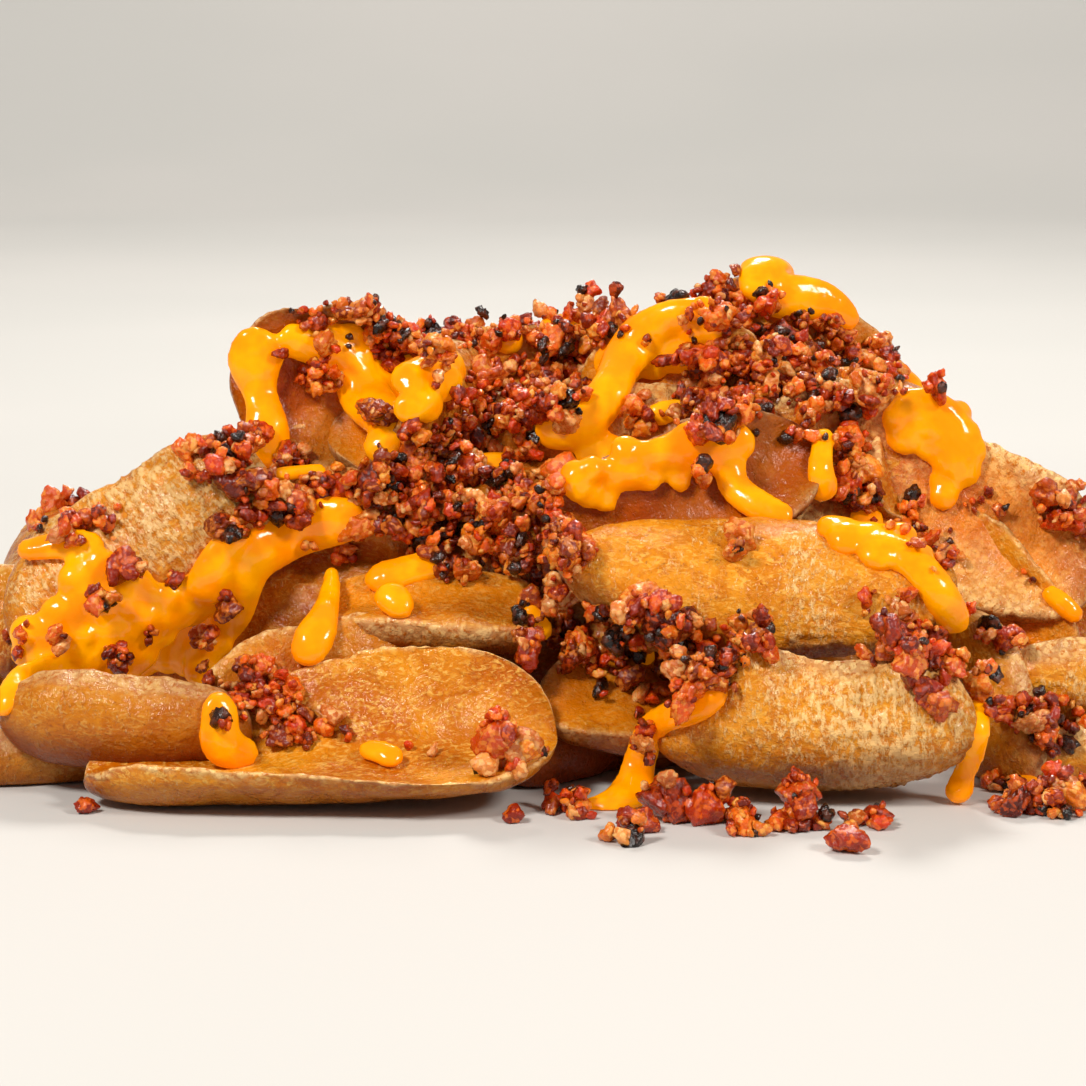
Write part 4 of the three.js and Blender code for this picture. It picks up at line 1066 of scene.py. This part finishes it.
class WEDGES_OT_buried(bpy.types.Operator):
    """Build the slices in rings round the heap and the potato inside it"""

    bl_idname = "wedges.buried"
    bl_label = "Buried slices"

    def execute(self, context):
        material = potato_finish("buried_potato", context.scene.wedge_settings, colour(178, 86, 4))
        forms = ring_forms()
        groups = [forms[start:start + SLICES_IN_A_PIECE]
                  for start in range(0, len(forms), SLICES_IN_A_PIECE)]
        for number, group in enumerate(groups):
            parts = [slice_part(form, 3000 + 50 * int(form["phase"] * 10), *BURIED_FINENESS,
                                context.scene.wedge_settings) for form in group]
            piece = add_piece(f"buried_slices_{number + 1}", parts, material, ["potato_core"])
            piece["wedges_group"] = "slices"
        core = add_piece("potato_inside", [core_part(9)], material, ["potato_core"])
        core["wedges_group"] = "slices"
        return {"FINISHED"}


class WEDGES_OT_sauce(bpy.types.Operator):
    """Lay the runs of cheese sauce on the slices and join them into one smooth surface"""

    bl_idname = "wedges.sauce"
    bl_label = "Cheese sauce"

    def execute(self, context):
        settings = context.scene.sauce_settings
        trees = [tree_of(built("slices"))]
        parts = [sauce_run(trees, run, number) for number, run in enumerate(SAUCE_RUNS)]
        for number, corners in enumerate(SAUCE_POOLS):
            parts += sauce_pool(trees, corners, 31 + number)
        sauce = add_piece("cheese_sauce", parts, sauce_finish(settings),
                          nodes_named("sauce_"))
        remesh = sauce.modifiers.new("join", "REMESH")
        remesh.mode = "VOXEL"
        remesh.voxel_size = settings.cell
        remesh.use_smooth_shade = True
        even = sauce.modifiers.new("even", "SMOOTH")
        even.factor = 0.5
        even.iterations = settings.smoothing
        shaped = bpy.data.meshes.new_from_object(sauce.evaluated_get(context.evaluated_depsgraph_get()))
        sauce.modifiers.clear()
        height = np.empty(3 * len(shaped.vertices), np.float32)
        shaped.vertices.foreach_get("co", height)
        height[2::3] = np.maximum(height[2::3], LOWEST_SAUCE * MM)
        shaped.vertices.foreach_set("co", height)
        sauce.data = shaped
        sauce["wedges_group"] = "sauce"
        return {"FINISHED"}


class WEDGES_OT_bacon(bpy.types.Operator):
    """Scatter the bacon crumbs of each kind over the heap and round its foot"""

    bl_idname = "wedges.bacon"
    bl_label = "Bacon crumbs"

    def execute(self, context):
        settings = context.scene.crumb_settings
        trees = [tree_of(built("slices")), tree_of(built("sauce"))]
        kinds = []
        for name, (share, dark, middle, light, see_through) in CRUMB_KINDS.items():
            middle = getattr(settings, middle) if isinstance(middle, str) else colour(*middle)
            finish = crumb_finish(name, colour(*dark), middle, colour(*light), see_through)
            kinds.append((name, share, finish))
        lone = np.array([(x, y, size * 0.35, size) for x, y, size in LONE_CRUMBS])
        parts = {kind: [] for kind, _, _ in kinds}
        for layer, (many, part_of_it, size, levels, knobbly, sink) in enumerate(CRUMB_LAYERS):
            per_area = getattr(settings, many) * part_of_it
            laid = []
            for number, (kind, share, _) in enumerate(kinds):
                seed = 20 * layer + number
                spots = [crumb_spots(trees, group, per_area * share, 700 + seed + 200 * at, size, sink)
                         for at, group in enumerate(CRUMB_PILES)]
                if layer == LAYER_WITH_LONE_CRUMBS and kind == "bacon_red_meat":
                    spots.append(lone)
                part = crumb_part(np.concatenate(spots), levels, 800 + seed, knobbly)
                parts[kind].append(part)
                laid.append(part)
            if layer < LAYERS_THAT_CARRY:
                points, faces, _ = joined(laid)
                trees.append(BVHTree.FromPolygons((points * MM).tolist(),
                                                  [row for block in faces for row in block.tolist()]))
        for number, (kind, _, material) in enumerate(kinds):
            nodes = (nodes_named("bacon_") + nodes_named("crumb_"))[number::len(kinds)]
            piece = add_piece(kind, parts[kind], material, nodes)
            piece["wedges_group"] = "bacon"
        return {"FINISHED"}


class WEDGES_OT_stage(bpy.types.Operator):
    """Set up the floor, the lights and the camera"""

    bl_idname = "wedges.stage"
    bl_label = "Stage"

    def execute(self, context):
        settings = context.scene.stage_settings
        sides = FLOOR_SIDES
        flat, bend = 1.5, 0.9
        profile = [(0, 0), (0.4, 0), (0.9, 0), (flat, 0)]
        profile += [(flat + bend * math.sin(turn), bend - bend * math.cos(turn))
                    for turn in np.linspace(0.1, 1.2, 10)]
        profile = np.array(profile)
        angle = np.arange(sides) / sides * 2 * math.pi
        grid = np.stack([profile[1:, :1] * np.cos(angle), profile[1:, :1] * np.sin(angle),
                         np.repeat(profile[1:, 1:], sides, axis=1)], axis=-1)
        points = np.concatenate([[[0, 0, 0]], grid.reshape(-1, 3)]) / MM
        ring, side = np.meshgrid(np.arange(len(profile) - 2), np.arange(sides), indexing="ij")
        after = (side + 1) % sides
        quads = 1 + np.stack([ring * sides + side, (ring + 1) * sides + side,
                              (ring + 1) * sides + after, ring * sides + after], axis=-1).reshape(-1, 4)
        fan = [[0, 1 + i, 1 + (i + 1) % sides] for i in range(sides)]
        made = Recipe("stage_floor")
        shade = made.noise(0.4, 2)
        made.set(Base_Color=made.mix(made.spread(shade, 0.3, 0.7), colour(201, 200, 197),
                                     settings.floor), Roughness=0.8)
        mesh = bpy.data.meshes.new("stage_floor")
        mesh.from_pydata((points * MM).tolist(), [], fan + quads.tolist())
        mesh.polygons.foreach_set("use_smooth", np.full(len(mesh.polygons), True))
        mesh.materials.append(made.material)
        mesh.update()
        floor = bpy.data.objects.new("stage_floor", mesh)
        context.scene.collection.objects.link(floor)

        context.scene.view_settings.view_transform = "Standard"
        world = bpy.data.worlds.new("studio")
        context.scene.world = world
        world.use_nodes = True
        background = world.node_tree.nodes["Background"]
        background.inputs["Color"].default_value = (1, 0.965, 0.92, 1)
        background.inputs["Strength"].default_value = settings.sky
        for name, (place, target, size, power) in LIGHTS.items():
            light = bpy.data.lights.new(name, "AREA")
            light.size = size
            light.energy = settings.key * power
            light.color = (1, 0.96, 0.9)
            lamp = bpy.data.objects.new(name, light)
            lamp.location = place
            lamp.rotation_euler = (Vector(target) - Vector(place)).to_track_quat("-Z", "Y").to_euler()
            context.scene.collection.objects.link(lamp)

        lens = bpy.data.cameras.new("camera")
        lens.lens = CAMERA["lens"]
        lens.clip_start = 0.05
        camera = bpy.data.objects.new("camera", lens)
        camera.location = CAMERA["place"]
        camera.rotation_euler = (math.radians(CAMERA["tilt"]), 0, 0)
        context.scene.collection.objects.link(camera)
        context.scene.camera = camera
        return {"FINISHED"}


class WEDGES_PT_panel(bpy.types.Panel):
    """The buttons for the heap's pieces"""

    bl_idname = "WEDGES_PT_panel"
    bl_label = "Loaded Wedges"
    bl_space_type = "VIEW_3D"
    bl_region_type = "UI"
    bl_category = "Loaded Wedges"

    def draw(self, context):
        groups = (
            (context.scene.wedge_settings, (WEDGES_OT_slices, WEDGES_OT_buried)),
            (context.scene.sauce_settings, (WEDGES_OT_sauce,)),
            (context.scene.crumb_settings, (WEDGES_OT_bacon,)),
            (context.scene.stage_settings, (WEDGES_OT_stage,)),
        )
        for settings, operators in groups:
            box = self.layout.box()
            for name in settings.bl_rna.properties.keys():
                if name not in ("rna_type", "name"):
                    box.prop(settings, name)
            for operator in operators:
                box.operator(operator.bl_idname)


CLASSES = (
    WedgeSettings, SauceSettings, CrumbSettings, StageSettings,
    WEDGES_OT_slices, WEDGES_OT_buried, WEDGES_OT_sauce, WEDGES_OT_bacon, WEDGES_OT_stage,
    WEDGES_PT_panel,
)


def register():
    for cls in CLASSES:
        bpy.utils.register_class(cls)
    bpy.types.Scene.wedge_settings = bpy.props.PointerProperty(type=WedgeSettings)
    bpy.types.Scene.sauce_settings = bpy.props.PointerProperty(type=SauceSettings)
    bpy.types.Scene.crumb_settings = bpy.props.PointerProperty(type=CrumbSettings)
    bpy.types.Scene.stage_settings = bpy.props.PointerProperty(type=StageSettings)


def unregister():
    for name in ("wedge_settings", "sauce_settings", "crumb_settings", "stage_settings"):
        delattr(bpy.types.Scene, name)
    for cls in reversed(CLASSES):
        bpy.utils.unregister_class(cls)


def main():
    register()
    for operator in (bpy.ops.wedges.slices, bpy.ops.wedges.buried, bpy.ops.wedges.sauce,
                     bpy.ops.wedges.bacon, bpy.ops.wedges.stage):
        operator()


if __name__ == "__main__":
    main()
